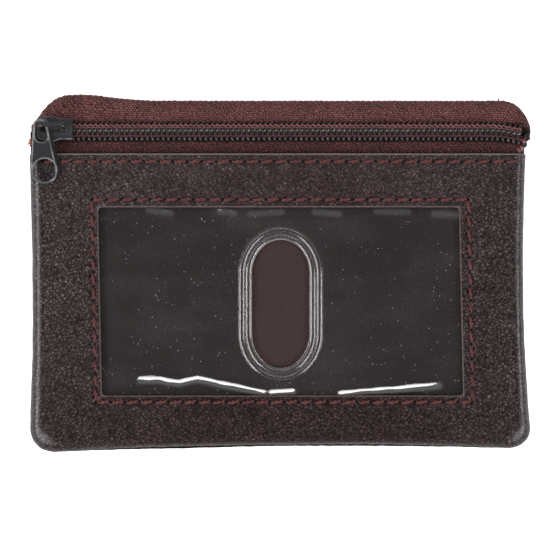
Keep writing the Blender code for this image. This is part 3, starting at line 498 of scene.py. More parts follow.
def zip_dip(x):
    """How far the zip sinks towards the bottom at its right end."""
    return -ZIP_DIP * ease((x - ZIP_DIP_START) / ZIP_DIP_RUN)


def end_bulge(x, y):
    """How far the zip's right end stands out beyond the leather."""
    return END_BULGE * hump(y - ZIP_Y, END_BULGE_HEIGHT) * ease((x - ZIP_DIP_START) / ZIP_DIP_RUN)


def zip_fall(y):
    """Height of the zip's sloping plane over its own middle line."""
    return -(y - ZIP_Y) * math.tan(ZIP_SLOPE)


def window_lean(y):
    """How far the leaning window is shifted at a height y."""
    return -WINDOW_LEAN * (y - WINDOW_Y) / WINDOW_HEIGHT


def window_corners(left, right, top, bottom):
    """The window's corners moved outwards, anticlockwise from the bottom left."""
    low = WINDOW_Y - WINDOW_HEIGHT / 2 - bottom
    high = WINDOW_Y + WINDOW_HEIGHT / 2 + top
    near = WINDOW_X - WINDOW_WIDTH / 2 - left
    far = WINDOW_X + WINDOW_WIDTH / 2 + right
    corners = ((near, low), (far, low), (far, high), (near, high))
    return [Vector((x + window_lean(y), y)) for x, y in corners]


def spaced(marks, spacings):
    """Places along a line that take in every mark, about as far apart as each stretch asks."""
    places = [marks[0]]
    for start, end, spacing in zip(marks, marks[1:], spacings):
        count = max(1, round(abs(end - start) / spacing))
        places += [start + (end - start) * step / count for step in range(1, count + 1)]
    return places


def ruled_grid(xs, ys):
    """A flat grid with a line at each place in xs and ys, and its UV map in metres."""
    bm = bmesh.new()
    bmesh.ops.create_grid(bm, x_segments=len(xs) - 1, y_segments=len(ys) - 1, size=1)
    for vertex in bm.verts:
        column = round((vertex.co.x + 1) / 2 * (len(xs) - 1))
        row = round((vertex.co.y + 1) / 2 * (len(ys) - 1))
        vertex.co = (xs[column], ys[row], 0)
    flat_map = bm.loops.layers.uv.new("flat")
    for face in bm.faces:
        for loop in face.loops:
            loop[flat_map].uv = loop.vert.co.xy
    return bm


def faced(bm, up):
    """Turn a sheet's faces so that, taken together, they look up or down."""
    bm.normal_update()
    total = sum(face.normal.z * face.calc_area() for face in bm.faces)
    if (total > 0) != up:
        bmesh.ops.reverse_faces(bm, faces=bm.faces)
    for edge in bm.edges:
        if edge.is_boundary:
            edge.smooth = False


def on_zip(bm):
    """A mesh made along the zip's own line, with its faces turned outwards and laid on the zip's slope."""
    bmesh.ops.recalc_face_normals(bm, faces=bm.faces)
    bmesh.ops.transform(bm, matrix=ZIP_FRAME, verts=bm.verts)
    return bm


def new_mesh(name, bm):
    """A mesh with a bmesh's shape; the bmesh is freed."""
    mesh = bpy.data.meshes.new(name)
    bm.to_mesh(mesh)
    bm.free()
    return mesh


def new_object(name, data):
    """An object in the scene that shows some data."""
    made = bpy.data.objects.new(name, data)
    bpy.context.scene.collection.objects.link(made)
    return made


def add_piece(bm, name, materials, body, replaced=(), sharp_degrees=None):
    """Make a bmesh a named piece that rides on a body and stands for its plain solids."""
    mesh = new_mesh(name, bm)
    for material in materials:
        mesh.materials.append(material)
    for polygon in mesh.polygons:
        polygon.use_smooth = True
    if sharp_degrees:
        mesh.set_sharp_from_angle(angle=math.radians(sharp_degrees))
    piece = new_object(name, mesh)
    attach(piece, body)
    if replaced:
        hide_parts(*replaced)
    return piece


def thicken(piece, thickness, rim_offset=0):
    """Give a sheet its thickness, inwards from the side that shows."""
    solidify = piece.modifiers.new("thickness", "SOLIDIFY")
    solidify.thickness = thickness
    solidify.offset = -1
    solidify.material_offset_rim = rim_offset


def tube(bm, route, radius, sides, steps, closed=False, stretch=1.0):
    """A round rod along a route, which gives a centre and two section axes at each share of its length.

    The radius may be a number or a function of the share; stretch scales it along the second axis.
    """
    older = set(bm.verts)
    ring = bmesh.ops.create_circle(bm, segments=sides, radius=1)["verts"]
    edges = {edge for vertex in ring for edge in vertex.link_edges}
    bmesh.ops.spin(
        bm, geom=ring + list(edges), cent=(0, 0, 0), axis=(0, 0, 1), angle=0,
        dvec=(0, 0, 1 / steps), steps=steps)
    verts = [vertex for vertex in bm.verts if vertex not in older]
    if not closed:
        open_edges = {edge for vertex in verts for edge in vertex.link_edges if edge.is_boundary}
        bmesh.ops.holes_fill(bm, edges=list(open_edges), sides=sides)
    for vertex in verts:
        share = vertex.co.z
        centre, first, second = route(share)
        size = radius(share) if callable(radius) else radius
        vertex.co = centre + (first * vertex.co.x + second * vertex.co.y * stretch) * size
    if closed:
        bmesh.ops.remove_doubles(bm, verts=verts, dist=1e-6)


def outline_route(points, up, inset, lift):
    """A route round a closed outline, with its section axes across the outline and up."""
    lengths = [0.0]
    loop = points + points[:1]
    for first, second in zip(loop, loop[1:]):
        lengths.append(lengths[-1] + (second - first).length)

    def place(distance):
        distance = distance % lengths[-1]
        index = 0
        while index < len(points) - 1 and lengths[index + 1] < distance:
            index += 1
        share = (distance - lengths[index]) / (lengths[index + 1] - lengths[index])
        return loop[index].lerp(loop[index + 1], share)

    def route(share):
        reach = lengths[-1] / len(points) / 2
        distance = share * lengths[-1]
        along = (place(distance + reach) - place(distance - reach)).normalized()
        inward = up.cross(along)
        return place(distance) + inward * inset + up * lift, inward, up

    return route


def leather_section(away, turn):
    """Section of a rolled edge of the leather, at a distance from the corner's centre in the flat pattern.

    Gives the radius from that centre, the height, and the surface normal as (outwards, up).
    """
    roll = ROLL_WIDTH + CORNER_ROLL_EXTRA * math.sin(2 * turn)
    from_cut = PATTERN_CORNER - away
    if from_cut < ALLOWANCE_RUN:
        return CORNER_RADIUS - SEAM_ALLOWANCE + from_cut, BEND_Z - BEND_RADIUS, (0.0, -1.0)
    from_bend = from_cut - ALLOWANCE_RUN
    if from_bend < BEND_RUN:
        angle = from_bend / BEND_RADIUS
        inset = BEND_RADIUS * (1 - math.sin(angle))
        height = BEND_Z - BEND_RADIUS * math.cos(angle)
        return CORNER_RADIUS - inset, height, (math.sin(angle), -math.cos(angle))
    from_roll = from_bend - BEND_RUN
    if from_roll < ROLL_RUN:
        angle = from_roll / ROLL_RUN * math.pi / 2
        inset = roll * (1 - math.cos(angle))
        height = BEND_Z + (FACE_Z - BEND_Z) * math.sin(angle)
        return CORNER_RADIUS - inset, height, (math.cos(angle), math.sin(angle))
    shrink = (CORNER_RADIUS - roll) / (PATTERN_CORNER - PATTERN_RUN)
    return CORNER_RADIUS - roll - (from_roll - ROLL_RUN) * shrink, FACE_Z, (0.0, 1.0)


def corner_shares(flat_x, flat_y, radius):
    """How far a point of a flat pattern is across and down in a bottom corner, as shares of its radius.

    The pattern's square corner becomes a round one.
    """
    across = max(0.0, abs(flat_x) - CORNER_X) / radius
    down = max(0.0, CORNER_Y - flat_y) / radius
    if across and down:
        return across * math.sqrt(1 - down * down / 2), down * math.sqrt(1 - across * across / 2)
    return across, down


def rolled(flat_x, flat_y):
    """Where a point of the flat leather pattern lies once its sides and bottom are rolled in.

    Gives the point, its outer normal, and how far that normal looks up.
    """
    side = 1 if flat_x > 0 else -1
    across, down = corner_shares(flat_x, flat_y, PATTERN_CORNER)
    away = math.hypot(across, down)
    if not away:
        return Vector((flat_x, flat_y, FACE_Z)), Vector((0, 0, 1)), 1.0
    turn = math.atan2(down, across)
    radius, height, (out, up) = leather_section(away * PATTERN_CORNER, turn)
    x = side * (CORNER_X + radius * math.cos(turn)) if across else flat_x
    y = CORNER_Y - radius * math.sin(turn) if down else flat_y
    normal = Vector((side * out * math.cos(turn), -out * math.sin(turn), up))
    return Vector((x, y, height)), normal, up


def row_distance(x, y, start, end):
    """Distance of a point from a row of stitches, and how far along the row it is."""
    along = (end - start).normalized()
    place = Vector((x, y)) - start
    run = place.dot(along)
    beyond = max(0.0, -run, run - (end - start).length)
    return math.hypot(place.dot(Vector((-along.y, along.x))), beyond), run


def stitch_rows(front):
    """The rows of stitches on one side of the pouch, as pairs of ends."""
    row = [(Vector((EDGE_ROW_LEFT, EDGE_ROW_Y)), Vector((EDGE_ROW_RIGHT, EDGE_ROW_Y)))]
    if front:
        corners = window_corners(**WINDOW_ROWS_OUT)
        return row + list(zip(corners, corners[1:] + corners[:1]))
    drop = Vector((0, BACK_EDGE_Y - FRONT_EDGE_Y))
    return [(row[0][0] + drop, row[0][1] + drop)]


def stitch_count(start, end, length):
    """How many stitches of about a length fill a row."""
    return max(1, round((end - start).length / length))


def leather_relief(point, rows, sizes, seed):
    """How far the leather stands out of its even shape: soft swellings, sewn-down rows and puckered seams."""
    x, y, z = point
    relief = sizes.leather_swell * ripple(x, y, z, 14 * MM, seed)
    relief += 0.45 * sizes.leather_swell * ripple(x, y, z, 4.5 * MM, seed + 3)
    reach = 2.5 * MM
    for start, end in rows:
        if not min(start.x, end.x) - reach < x < max(start.x, end.x) + reach:
            continue
        if not min(start.y, end.y) - reach < y < max(start.y, end.y) + reach:
            continue
        distance, run = row_distance(x, y, start, end)
        pitch = (end - start).length / stitch_count(start, end, sizes.stitch)
        at_hole = 0.5 + 0.5 * math.cos(2 * math.pi * run / pitch)
        relief -= (ROW_SINK + HOLE_SINK * at_hole ** 3) * hump(distance, ROW_SINK_REACH)
        relief += ROW_WELT * hump(distance - ROW_WELT_OFF, ROW_WELT_REACH)
    inset = min(HALF_WIDTH - abs(x), y - BOTTOM_Y)
    shoulder = ROLL_WIDTH + 0.3 * MM
    relief -= SHOULDER_DROP * hump(inset - shoulder, 3.2 * MM if inset > shoulder else 1.7 * MM)
    if z < PUCKER_TOP_Z:
        below_bend = ease((PUCKER_TOP_Z - z) / (2.5 * MM))
        pucker = ripple(x, y, z, 1.5 * MM, seed + 7) + 0.6 * ripple(x, y, z, 3.2 * MM, seed + 9)
        relief += SEAM_PUCKER * pucker * below_bend
    return relief


def leather_pattern(edge_y, back, sizes, seed):
    """The front or back leather: one sheet, rolled in at its sides and bottom, its cut edge rounded off."""
    spacing = sizes.leather_spacing
    side = CORNER_X + PATTERN_CORNER
    bottom = CORNER_Y - PATTERN_CORNER
    rows = stitch_rows(not back)
    row_y = rows[0][0].y
    y_marks = [bottom, row_y - SEWN_REACH, row_y + SEWN_REACH, edge_y - CUT_ROUND, edge_y]
    y_spacings = [spacing, SEWN_SPACING, spacing, CUT_ROUND]
    x_marks = [-side, side]
    x_spacings = [spacing]
    low, high = WINDOW_Y - WINDOW_HEIGHT / 2, WINDOW_Y + WINDOW_HEIGHT / 2
    near, far = WINDOW_X - WINDOW_WIDTH / 2, WINDOW_X + WINDOW_WIDTH / 2
    if not back:
        window_spacings = [spacing, SEWN_SPACING, CUT_ROUND, CUT_AWAY_SPACING, CUT_ROUND, SEWN_SPACING]
        x_marks = [-side, near - SEWN_OUT["left"], near - CUT_ROUND, near]
        x_marks += [far, far + CUT_ROUND, far + SEWN_OUT["right"], side]
        x_spacings = window_spacings + [spacing]
        window_marks = [bottom, low - SEWN_OUT["bottom"], low - CUT_ROUND, low]
        window_marks += [high, high + CUT_ROUND, high + SEWN_OUT["top"]]
        y_marks = window_marks + y_marks[1:]
        y_spacings = window_spacings + y_spacings
    bm = ruled_grid(spaced(x_marks, x_spacings), spaced(y_marks, y_spacings))
    wear_and_highlight = bm.verts.layers.float.new("wear_and_highlight")
    fold = bm.verts.layers.float.new("fold")
    polish = bm.verts.layers.float.new("polish")
    if not back:
        inside = [
            face for face in bm.faces
            if near < face.calc_center_median().x < far and low < face.calc_center_median().y < high
        ]
        bmesh.ops.delete(bm, geom=inside, context="FACES")
        round_window_corners(bm, near, far, low, high)
    for face in bm.faces:
        middle = face.calc_center_median()
        at_window = not back and near - CUT_ROUND < middle.x < far + CUT_ROUND
        at_window = at_window and low - CUT_ROUND < middle.y < high + CUT_ROUND
        if at_window or middle.y > edge_y - CUT_ROUND:
            face.material_index = 1
    for vertex in bm.verts:
        flat = vertex.co.copy()
        by_window = near - 1 * MM < flat.x < far + 1 * MM and low - 1 * MM < flat.y < high + 1 * MM
        at_cut = vertex.is_boundary and (flat.y > edge_y - 1e-6 or (by_window and not back))
        point, normal, up = rolled(flat.x, flat.y)
        if not back:
            reach = ease((HALF_WIDTH - abs(flat.x)) / (8 * MM))
            near_window = min(max(flat.y, low - 3 * MM), high + 3 * MM)
            fade = 1 - ease((flat.y - high - 3 * MM) / (8 * MM))
            point.x += window_lean(near_window) * reach * fade
        relief = leather_relief(point, rows, sizes, seed)
        if at_cut:
            relief -= CUT_SINK
        # Partly real wear and partly painted highlight: the rolls' outer sides are marked to be painted
        # lighter, most along the bottom edge, where it catches the light.
        at_bottom = 0.45 + 0.55 * ease((CORNER_Y - point.y) / (3 * MM))
        vertex[wear_and_highlight] = at_bottom * (1 - ease(abs(up) / 0.35)) if point.z > SEAM_Z + 1 * MM else 0.0
        # Painted shade: the leather of the seam's bend and allowance, which looks into the seam, is marked to
        # be painted near black.
        vertex[fold] = 1 - ease((up + (0.25 if back else 0.75)) / 0.5)
        sideways = abs(normal.x) / max(math.hypot(normal.x, normal.y), 0.01)
        vertex[polish] = ease((1 - up) / 0.07) * ease((up + 0.2) / 0.4) * (0.15 + 0.85 * sideways)
        point += normal * relief
        if back:
            point.z = max(FACE_Z - point.z, 0.0)
        vertex.co = drawn(*point, 0.0 if back else FRONT_BOTTOM_DRAW, LEATHER_HOLD)
    faced(bm, not back)
    return bm


def round_window_corners(bm, near, far, low, high):
    """Round off the square corners of the window's hole."""
    for corner_x, way_x in ((near, 1), (far, -1)):
        for corner_y, way_y in ((low, 1), (high, -1)):
            centre = Vector((corner_x + way_x * WINDOW_CORNER, corner_y + way_y * WINDOW_CORNER))
            for vertex in bm.verts:
                inside_x = (vertex.co.x - corner_x) * way_x
                inside_y = (vertex.co.y - corner_y) * way_y
                on_edge = min(inside_x, inside_y) > -1e-7 and vertex.is_boundary
                if on_edge and max(inside_x, inside_y) < WINDOW_CORNER:
                    arm = (vertex.co.xy - centre).normalized() * WINDOW_CORNER
                    vertex.co.x = centre.x + arm.x
                    vertex.co.y = centre.y + arm.y


def needle_holes(finish, rows, length, radius):
    """1 inside the needle holes of some rows of stitches, and 0 away from them."""
    across, up, _ = finish.axes(finish.place())
    holes = 0.0
    for start, end in rows:
        along = (end - start).normalized()
        pitch = (end - start).length / stitch_count(start, end, length)
        run = (across - start.x) * along.x + (up - start.y) * along.y
        off = (up - start.y) * along.x - (across - start.x) * along.y
        step = ((run / pitch + 0.5).fraction() - 0.5) * pitch
        inside = (run.lowest((end - start).length - run) + 0.4 * pitch).step(-0.01 * MM, 0.01 * MM)
        hole = (step * step + off * off * 1.4).step(radius * radius, 0.3 * radius * radius) * inside
        holes = hole if holes == 0.0 else holes.highest(hole)
    return holes


def leather_finish(name, colours, sizes, rows):
    """Fine pebble-grained leather: dark brown and greyer towards the top, with scratches and worn edges. Its
    light specks are painted glints on the pebbles, its sides and the rolls' outer edges are painted lighter
    as sheen and highlight, and the leather that turns into the seam and the needle holes are painted dark as
    shade.

    A clear coat shines on the pebbles' tops and on the rolls that hands polish, and leaves the rest matt.
    """
    finish = Finish(name)
    place = finish.place()
    across, up, _ = finish.axes(place)
    uneven = finish.jittered(place, 1.1 * MM, 0.8 * MM)
    leaning = finish.mapped(uneven, (1.5, 1.0, 1.0), math.radians(28))
    pebble = finish.cells(leaning, sizes.grain, "DISTANCE_TO_EDGE").step(0.02, 0.33)
    coarse = finish.clouds(leaning, 0.50 * MM, 4.0, 0.75)
    creases = finish.clouds(place, 2.2 * MM, 4.0, 0.65)
    mottle = finish.clouds(place, 9 * MM, 3.0, 0.6)
    streaks = finish.clouds(finish.mapped(place, (7.0, 1.0, 1.0), math.radians(-48)), 0.45 * MM, 3.0, 0.7)
    # The leather turns greyer towards the top and at random; its lighter, greyer left and right sides stand
    # for sheen and are painted light.
    sides = (across * across) * (1.0 / HALF_WIDTH ** 2)
    greyer = ((up / HEIGHT + 0.28) * 0.8 + sides + (mottle - 0.5) * 0.9).step(0.0, 1.0)
    scratched = ((up - across * 0.6) / HEIGHT + (mottle - 0.5) * 1.4).step(0.0, 0.7)
    body = finish.mix(greyer, colours.leather_red, colours.leather)
    # Painted highlight: the light specks stand for glints on the pebbles' tops, mixed into the colour with
    # the leather's grey.
    specks = finish.cells(uneven, 0.66 * MM).step(0.30, 0.08) * (creases - 0.25).step(0.0, 0.35)
    specks = specks * (0.50 + 0.50 * scratched)
    scratches = streaks.step(0.55, 0.68) * (0.15 + 0.85 * scratched)
    # The rolls' edges are painted towards the grey, partly as wear and partly as painted highlight; with the
    # specks' painted glints and the real scratches, this makes the grey mix below.
    wear_and_glint = finish.attribute("wear_and_highlight") * (creases + 0.2).step(0.4, 0.9)
    worn = (specks * 0.46 + scratches * 0.50 + wear_and_glint * 0.35).lowest(1.0)
    toned = finish.mix(worn, body, colours.leather_grey)
    calm = (up / HEIGHT + 0.10).step(0.0, 0.6) * (1.0 - sides)
    grained = 1.19 - (1.0 - pebble) * (1.05 - 0.45 * calm)
    valleys = (0.32 + 1.15 * coarse.step(0.36, 0.64)) * grained * (0.60 + 0.80 * creases)
    valleys = valleys * (0.72 + 0.56 * mottle) * (1.0 - 0.24 * calm)
    # Painted shade: the leather that turns into the seam is darkened almost to black.
    folded = finish.attribute("fold")
    valleys = valleys * (1.0 - streaks.step(0.46, 0.34) * scratched * 0.6) * (1.0 - folded * 0.93)
    # Painted shade: the needle holes are painted near black, as the shade in their depth.
    holes = needle_holes(finish, rows, sizes.stitch, HOLE_RADIUS)
    colour = finish.mix(holes, finish.shaded(toned, valleys), colours.leather_hole)
    height = pebble * 0.60 + coarse * 0.60 + creases * 0.60 + streaks * scratched * 0.35
    normal = finish.bump(height, 0.065 * MM, 1.0)
    roughness = 0.33 + (creases - 0.5) * 0.25 + (mottle - 0.5) * 0.30 + (1 - pebble) * 0.20
    roughness = roughness + holes * 0.3 + folded * 0.4
    tops = 0.06 + 0.94 * pebble * coarse.step(0.34, 0.66)
    handled = finish.attribute("polish") * (0.55 + 0.45 * tops)
    polish = ((0.30 * tops + handled) * (0.45 + 1.1 * creases)).lowest(1.0)
    return finish.surface(
        Base_Color=colour, Roughness=roughness, Normal=normal, Specular_IOR_Level=0.20,
        Coat_Weight=polish, Coat_Roughness=0.32, Coat_IOR=1.65)


def cut_finish(name, colours):
    """Raw cut edge of the leather: paler, with loose fibres, and painted palest along the zip as the
    highlight of the edge that faces the light.
    """
    finish = Finish(name)
    place = finish.place()
    _, up, _ = finish.axes(place)
    fibres = finish.clouds(place, 0.35 * MM, 4.0, 0.7)
    colour = finish.mix(fibres.step(0.3, 0.75), colours.leather_red, colours.leather_cut)
    # Painted highlight: the cut edge along the zip is made palest, as the lit edge.
    colour = finish.mix(up.step(22 * MM, 24 * MM) * (0.25 + 0.6 * fibres), colour, colours.leather_grey)
    normal = finish.bump(fibres, 0.08 * MM, 0.8)
    return finish.surface(Base_Color=colour, Roughness=0.75, Normal=normal)


class POUCH_OT_leather(bpy.types.Operator):
    """Make the front and back leather"""

    bl_idname = "pouch.leather"
    bl_label = "Leather"

    def execute(self, context):
        sizes = context.scene.pouch_sizes
        colours = context.scene.pouch_colours
        raw = cut_finish("cut_leather", colours)
        for name, edge_y, back, node in (
                ("front_leather", FRONT_EDGE_Y, False, "front_panel"),
                ("back_leather", BACK_EDGE_Y, True, "back_panel")):
            finish = leather_finish(name + "_finish", colours, sizes, stitch_rows(not back))
            bm = leather_pattern(edge_y, back, sizes, 5.0 if back else 1.0)
            piece = add_piece(bm, name, [finish, raw], "pouch", [node])
            thicken(piece, LEATHER, 1)
        return {"FINISHED"}


def lining_outline_place(flat_x, flat_y, z, height):
    """Where a point of a flat lining lies: rounded bottom corners, drawn in like the leather."""
    radius = CORNER_RADIUS - LINING_EDGE_INSET
    side = 1 if flat_x > 0 else -1
    across, down = corner_shares(flat_x, flat_y, radius)
    x = side * (CORNER_X + across * radius) if across else flat_x
    y = CORNER_Y - down * radius if down else flat_y
    return drawn(x, y, z + height, FRONT_BOTTOM_DRAW)


def lining_finish(colours):
    """Fine dark twill: slanting ribs with a lighter and a darker yarn, with painted shade along the window's
    left and bottom edges.
    """
    finish = Finish("lining_twill")
    across, up, _ = finish.axes(finish.place("UV"))
    rib = finish.ribs(across + up, 0.88 * MM)
    yarn = finish.ribs(across - up * 0.6, 0.62 * MM)
    fuzz = finish.clouds(finish.place(), 0.5 * MM, 3.0, 0.6)
    height = rib * 0.6 + yarn * 0.4
    shade = (0.20 + 1.5 * height) * (0.7 + 0.6 * fuzz)
    left_of, above, _ = finish.axes(finish.place())
    left, low = WINDOW_X - WINDOW_WIDTH / 2, WINDOW_Y - WINDOW_HEIGHT / 2
    # Painted shade: the twill is darkened along the window's left and bottom edges, where the leather's edge
    # and the film's bulge cast shade.
    shade = shade * (0.30 + 0.70 * left_of.step(left + 0.6 * MM, left + 2.2 * MM))
    shade = shade * (0.30 + 0.70 * above.step(low + 0.6 * MM, low + 3.0 * MM))
    colour = finish.shaded(colours.lining, shade)
    normal = finish.bump(height, 0.06 * MM, 0.7)
    return finish.surface(
        Base_Color=colour, Roughness=0.85, Normal=normal, Sheen_Weight=0.15, Sheen_Roughness=0.5)


class POUCH_OT_linings(bpy.types.Operator):
    """Make the card pocket's lining and the coin compartment's back lining"""

    bl_idname = "pouch.linings"
    bl_label = "Linings"

    def execute(self, context):
        finish = lining_finish(context.scene.pouch_colours)
        half = HALF_WIDTH - LINING_EDGE_INSET
        low = BOTTOM_Y + LINING_EDGE_INSET
        pocket_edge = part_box("pocket_lining")[1].y
        back_edge = BACK_EDGE_Y - LAYER_GAP
        for name, node, edge_y, z, side_up in (
                ("card_pocket_cloth", "pocket_lining", pocket_edge, POCKET_LINING_Z, True),
                ("back_compartment_cloth", "back_lining", back_edge, BACK_LINING_Z, False)):
            bm = ruled_grid(spaced([-half, half], [CLOTH_SPACING]), spaced([low, edge_y], [CLOTH_SPACING]))
            for vertex in bm.verts:
                level = z + (LINING if side_up else 0.0)
                seed = 11.0 if side_up else 13.0
                wave = LINING_WAVE * ripple(vertex.co.x, vertex.co.y, 0, 8 * MM, seed)
                vertex.co = lining_outline_place(vertex.co.x, vertex.co.y, level, wave)
            faced(bm, side_up)
            piece = add_piece(bm, name, [finish], "pouch", [node])
            thicken(piece, LINING)
        return {"FINISHED"}


def slot_point(share, grow):
    """A point of the thumb slot's outline, grown outwards, at a share of its quarter from right to top."""
    straight = SLOT_HALF_HEIGHT - SLOT_END
    arc = math.pi / 2 * math.hypot(SLOT_HALF_WIDTH, SLOT_END) / math.sqrt(2)
    along = share * (straight + arc)
    if along <= straight:
        return Vector((SLOT_HALF_WIDTH + grow, along))
    angle = (along - straight) / arc * math.pi / 2
    x = (SLOT_HALF_WIDTH + grow) * math.cos(angle)
    return Vector((x, straight + (SLOT_END + grow) * math.sin(angle)))


def film_edge_point(share):
    """A point of the film's own rectangle, from its right middle to its top middle."""
    half_x = WINDOW_WIDTH / 2 + FILM_MARGIN
    half_y = WINDOW_HEIGHT / 2 + FILM_MARGIN
    along = share * (half_x + half_y)
    if along <= half_y:
        return Vector((half_x, along))
    return Vector((half_x + half_y - along, half_y))


def crease(x, y, points, width):
    """A soft ridge along a line of points."""
    best = 0.0
    for first, second in zip(points, points[1:]):
        start, end = Vector(first) * MM, Vector(second) * MM
        distance, _ = row_distance(x, y, start, end)
        best = max(best, hump(distance, width))
    return best


FILM_CREASES_MM = (
    (STREAK, ((-31.5, -24.0), (-27, -24.0), (-24.8, -24.5), (-22.6, -24.7), (-20.6, -24.2), (-18.6, -23.8),
              (-16.4, -24.2), (-13.7, -24.9), (-8.5, -25.9), (-3.6, -27.0))),
    (STREAK, ((-1.6, -27.0), (3.0, -26.7))),
    (STREAK, ((14.0, -27.2), (20, -26.6), (26, -26.15), (32, -25.6), (36.0, -25.2))),
    (0.11, ((-29.5, 14.5), (-24.6, 13.7))),
    (0.10, ((-13.5, 14.2), (-10.2, 13.7))),
    (0.09, ((-6.5, 13.6), (0.5, 14.0))),
    (0.10, ((8, 14.0), (13.5, 13.6))),
    (0.09, ((22, 14.1), (29, 14.0))),
    (0.11, ((35, 13.7), (41.5, 13.2))),
)


def film_height(x, y, grow, sizes):
    """Height of the film over its own flat level: waves, creases, and the two welded beads round its slot."""
    flat = ease((grow - 2 * BEAD_WIDTH) / (4 * MM))
    height = sizes.film_wave * ripple(x, y, 0, 11 * MM, 21.0) * flat
    height += 0.35 * sizes.film_wave * ripple(x, 2.2 * y, 0, 3.0 * MM, 23.0) * flat
    uneven = 0.9 + 0.25 * ripple(x, y, 0, 3.5 * MM, 27.0)
    for strength, line in FILM_CREASES_MM:
        height += strength * MM * crease(x, y, line, CREASE_WIDTH) * uneven
    for start in (0.0, BEAD_WIDTH + BEAD_VALLEY):
        share = (grow - start) / BEAD_WIDTH
        if 0 < share < 1:
            height += BEAD_RISE * math.sin(math.pi * share) ** 0.8
    return height


def film_sheet(sizes):
    """The film as rings round the thumb slot that spread out to its own leaning rectangle."""
    quarter = spaced([0.0, 1.0], [0.0095])
    around = [side + share for side in range(4) for share in quarter[:-1]] + [4.0]
    beads_end = 2 * BEAD_WIDTH + BEAD_VALLEY
    grows = spaced([0.0, beads_end], [0.11 * MM])
    rings = grows + [beads_end + share for share in spaced([0.0, 1.0], [0.0125])[1:]]
    bm = ruled_grid(around, rings)
    bent = bm.verts.layers.float.new("bent")
    for vertex in bm.verts:
        side = min(int(vertex.co.x), 3)
        share = vertex.co.x - side
        if side % 2:
            share = 1 - share
        grow = min(vertex.co.y, beads_end)
        spread = vertex.co.y - beads_end if vertex.co.y > beads_end else 0.0
        slot = slot_point(share, grow)
        edge = film_edge_point(share)
        way = Vector((-1 if side in (1, 2) else 1, -1 if side > 1 else 1))
        inner = SLOT_CENTRE + slot * way
        outer = Vector((WINDOW_X, WINDOW_Y)) + edge * way
        outer.x += window_lean(outer.y)
        place = inner.lerp(outer, spread)
        reach = grow + spread * (outer - inner).length
        vertex.co = (place.x, place.y, FILM_Z + film_height(place.x, place.y, reach, sizes))
        bend = max(
            strength / STREAK * min(BENT_GAIN * crease(place.x, place.y - BENT_RISE, line, BENT_WIDTH), 1.0)
            for strength, line in FILM_CREASES_MM)
        vertex[bent] = bend if spread else BENT_BEADS
    bmesh.ops.remove_doubles(bm, verts=bm.verts, dist=1e-6)
    faced(bm, True)
    return bm


def film_finish(colours):
    """Clear glossy film with dust and a smeared rub pattern, brightest where its creases catch the light."""
    finish = Finish("clear_film")
    place = finish.place()
    dust = finish.cells(place, 1.15 * MM).step(0.16, 0.06) * finish.clouds(place, 2.2 * MM).step(0.45, 0.58)
    fine = finish.cells(finish.mapped(place, (1, 1, 1), math.radians(35)), 0.55 * MM).step(0.26, 0.10)
    smear = finish.clouds(finish.mapped(place, (2.0, 0.8, 1)), 9 * MM, 4.0, 0.6).step(0.35, 0.8)
    haze = (0.024 + smear * 0.024 + fine * smear * 0.10 + dust * 0.55).lowest(1.0)
    gloss = finish.node("ShaderNodeFresnel", sockets={"IOR": 1.5})
    clear = finish.node("ShaderNodeBsdfTransparent", sockets={0: (0.99, 0.985, 0.985, 1.0)})
    mirror = finish.node("ShaderNodeBsdfGlossy", sockets={"Color": (1.0, 1.0, 1.0, 1.0), "Roughness": 0.07})
    shine = (gloss * 1.1 + finish.attribute("bent") * 0.85).lowest(1.0)
    glassy = finish.node("ShaderNodeMixShader", sockets={0: shine, 1: clear, 2: mirror})
    powder = finish.principled(Base_Color=as_colour(colours.film_haze), Roughness=0.8)
    return finish.shown(finish.node("ShaderNodeMixShader", sockets={0: haze, 1: glassy, 2: powder}))


class POUCH_OT_film(bpy.types.Operator):
    """Make the clear card window with its thumb slot"""

    bl_idname = "pouch.film"
    bl_label = "Window film"

    def execute(self, context):
        sizes = context.scene.pouch_sizes
        finish = film_finish(context.scene.pouch_colours)
        piece = add_piece(film_sheet(sizes), "window_film_sheet", [finish], "pouch", ["window_film"])
        solidify = piece.modifiers.new("thickness", "SOLIDIFY")
        solidify.thickness = sizes.film
        solidify.offset = 1
        return {"FINISHED"}


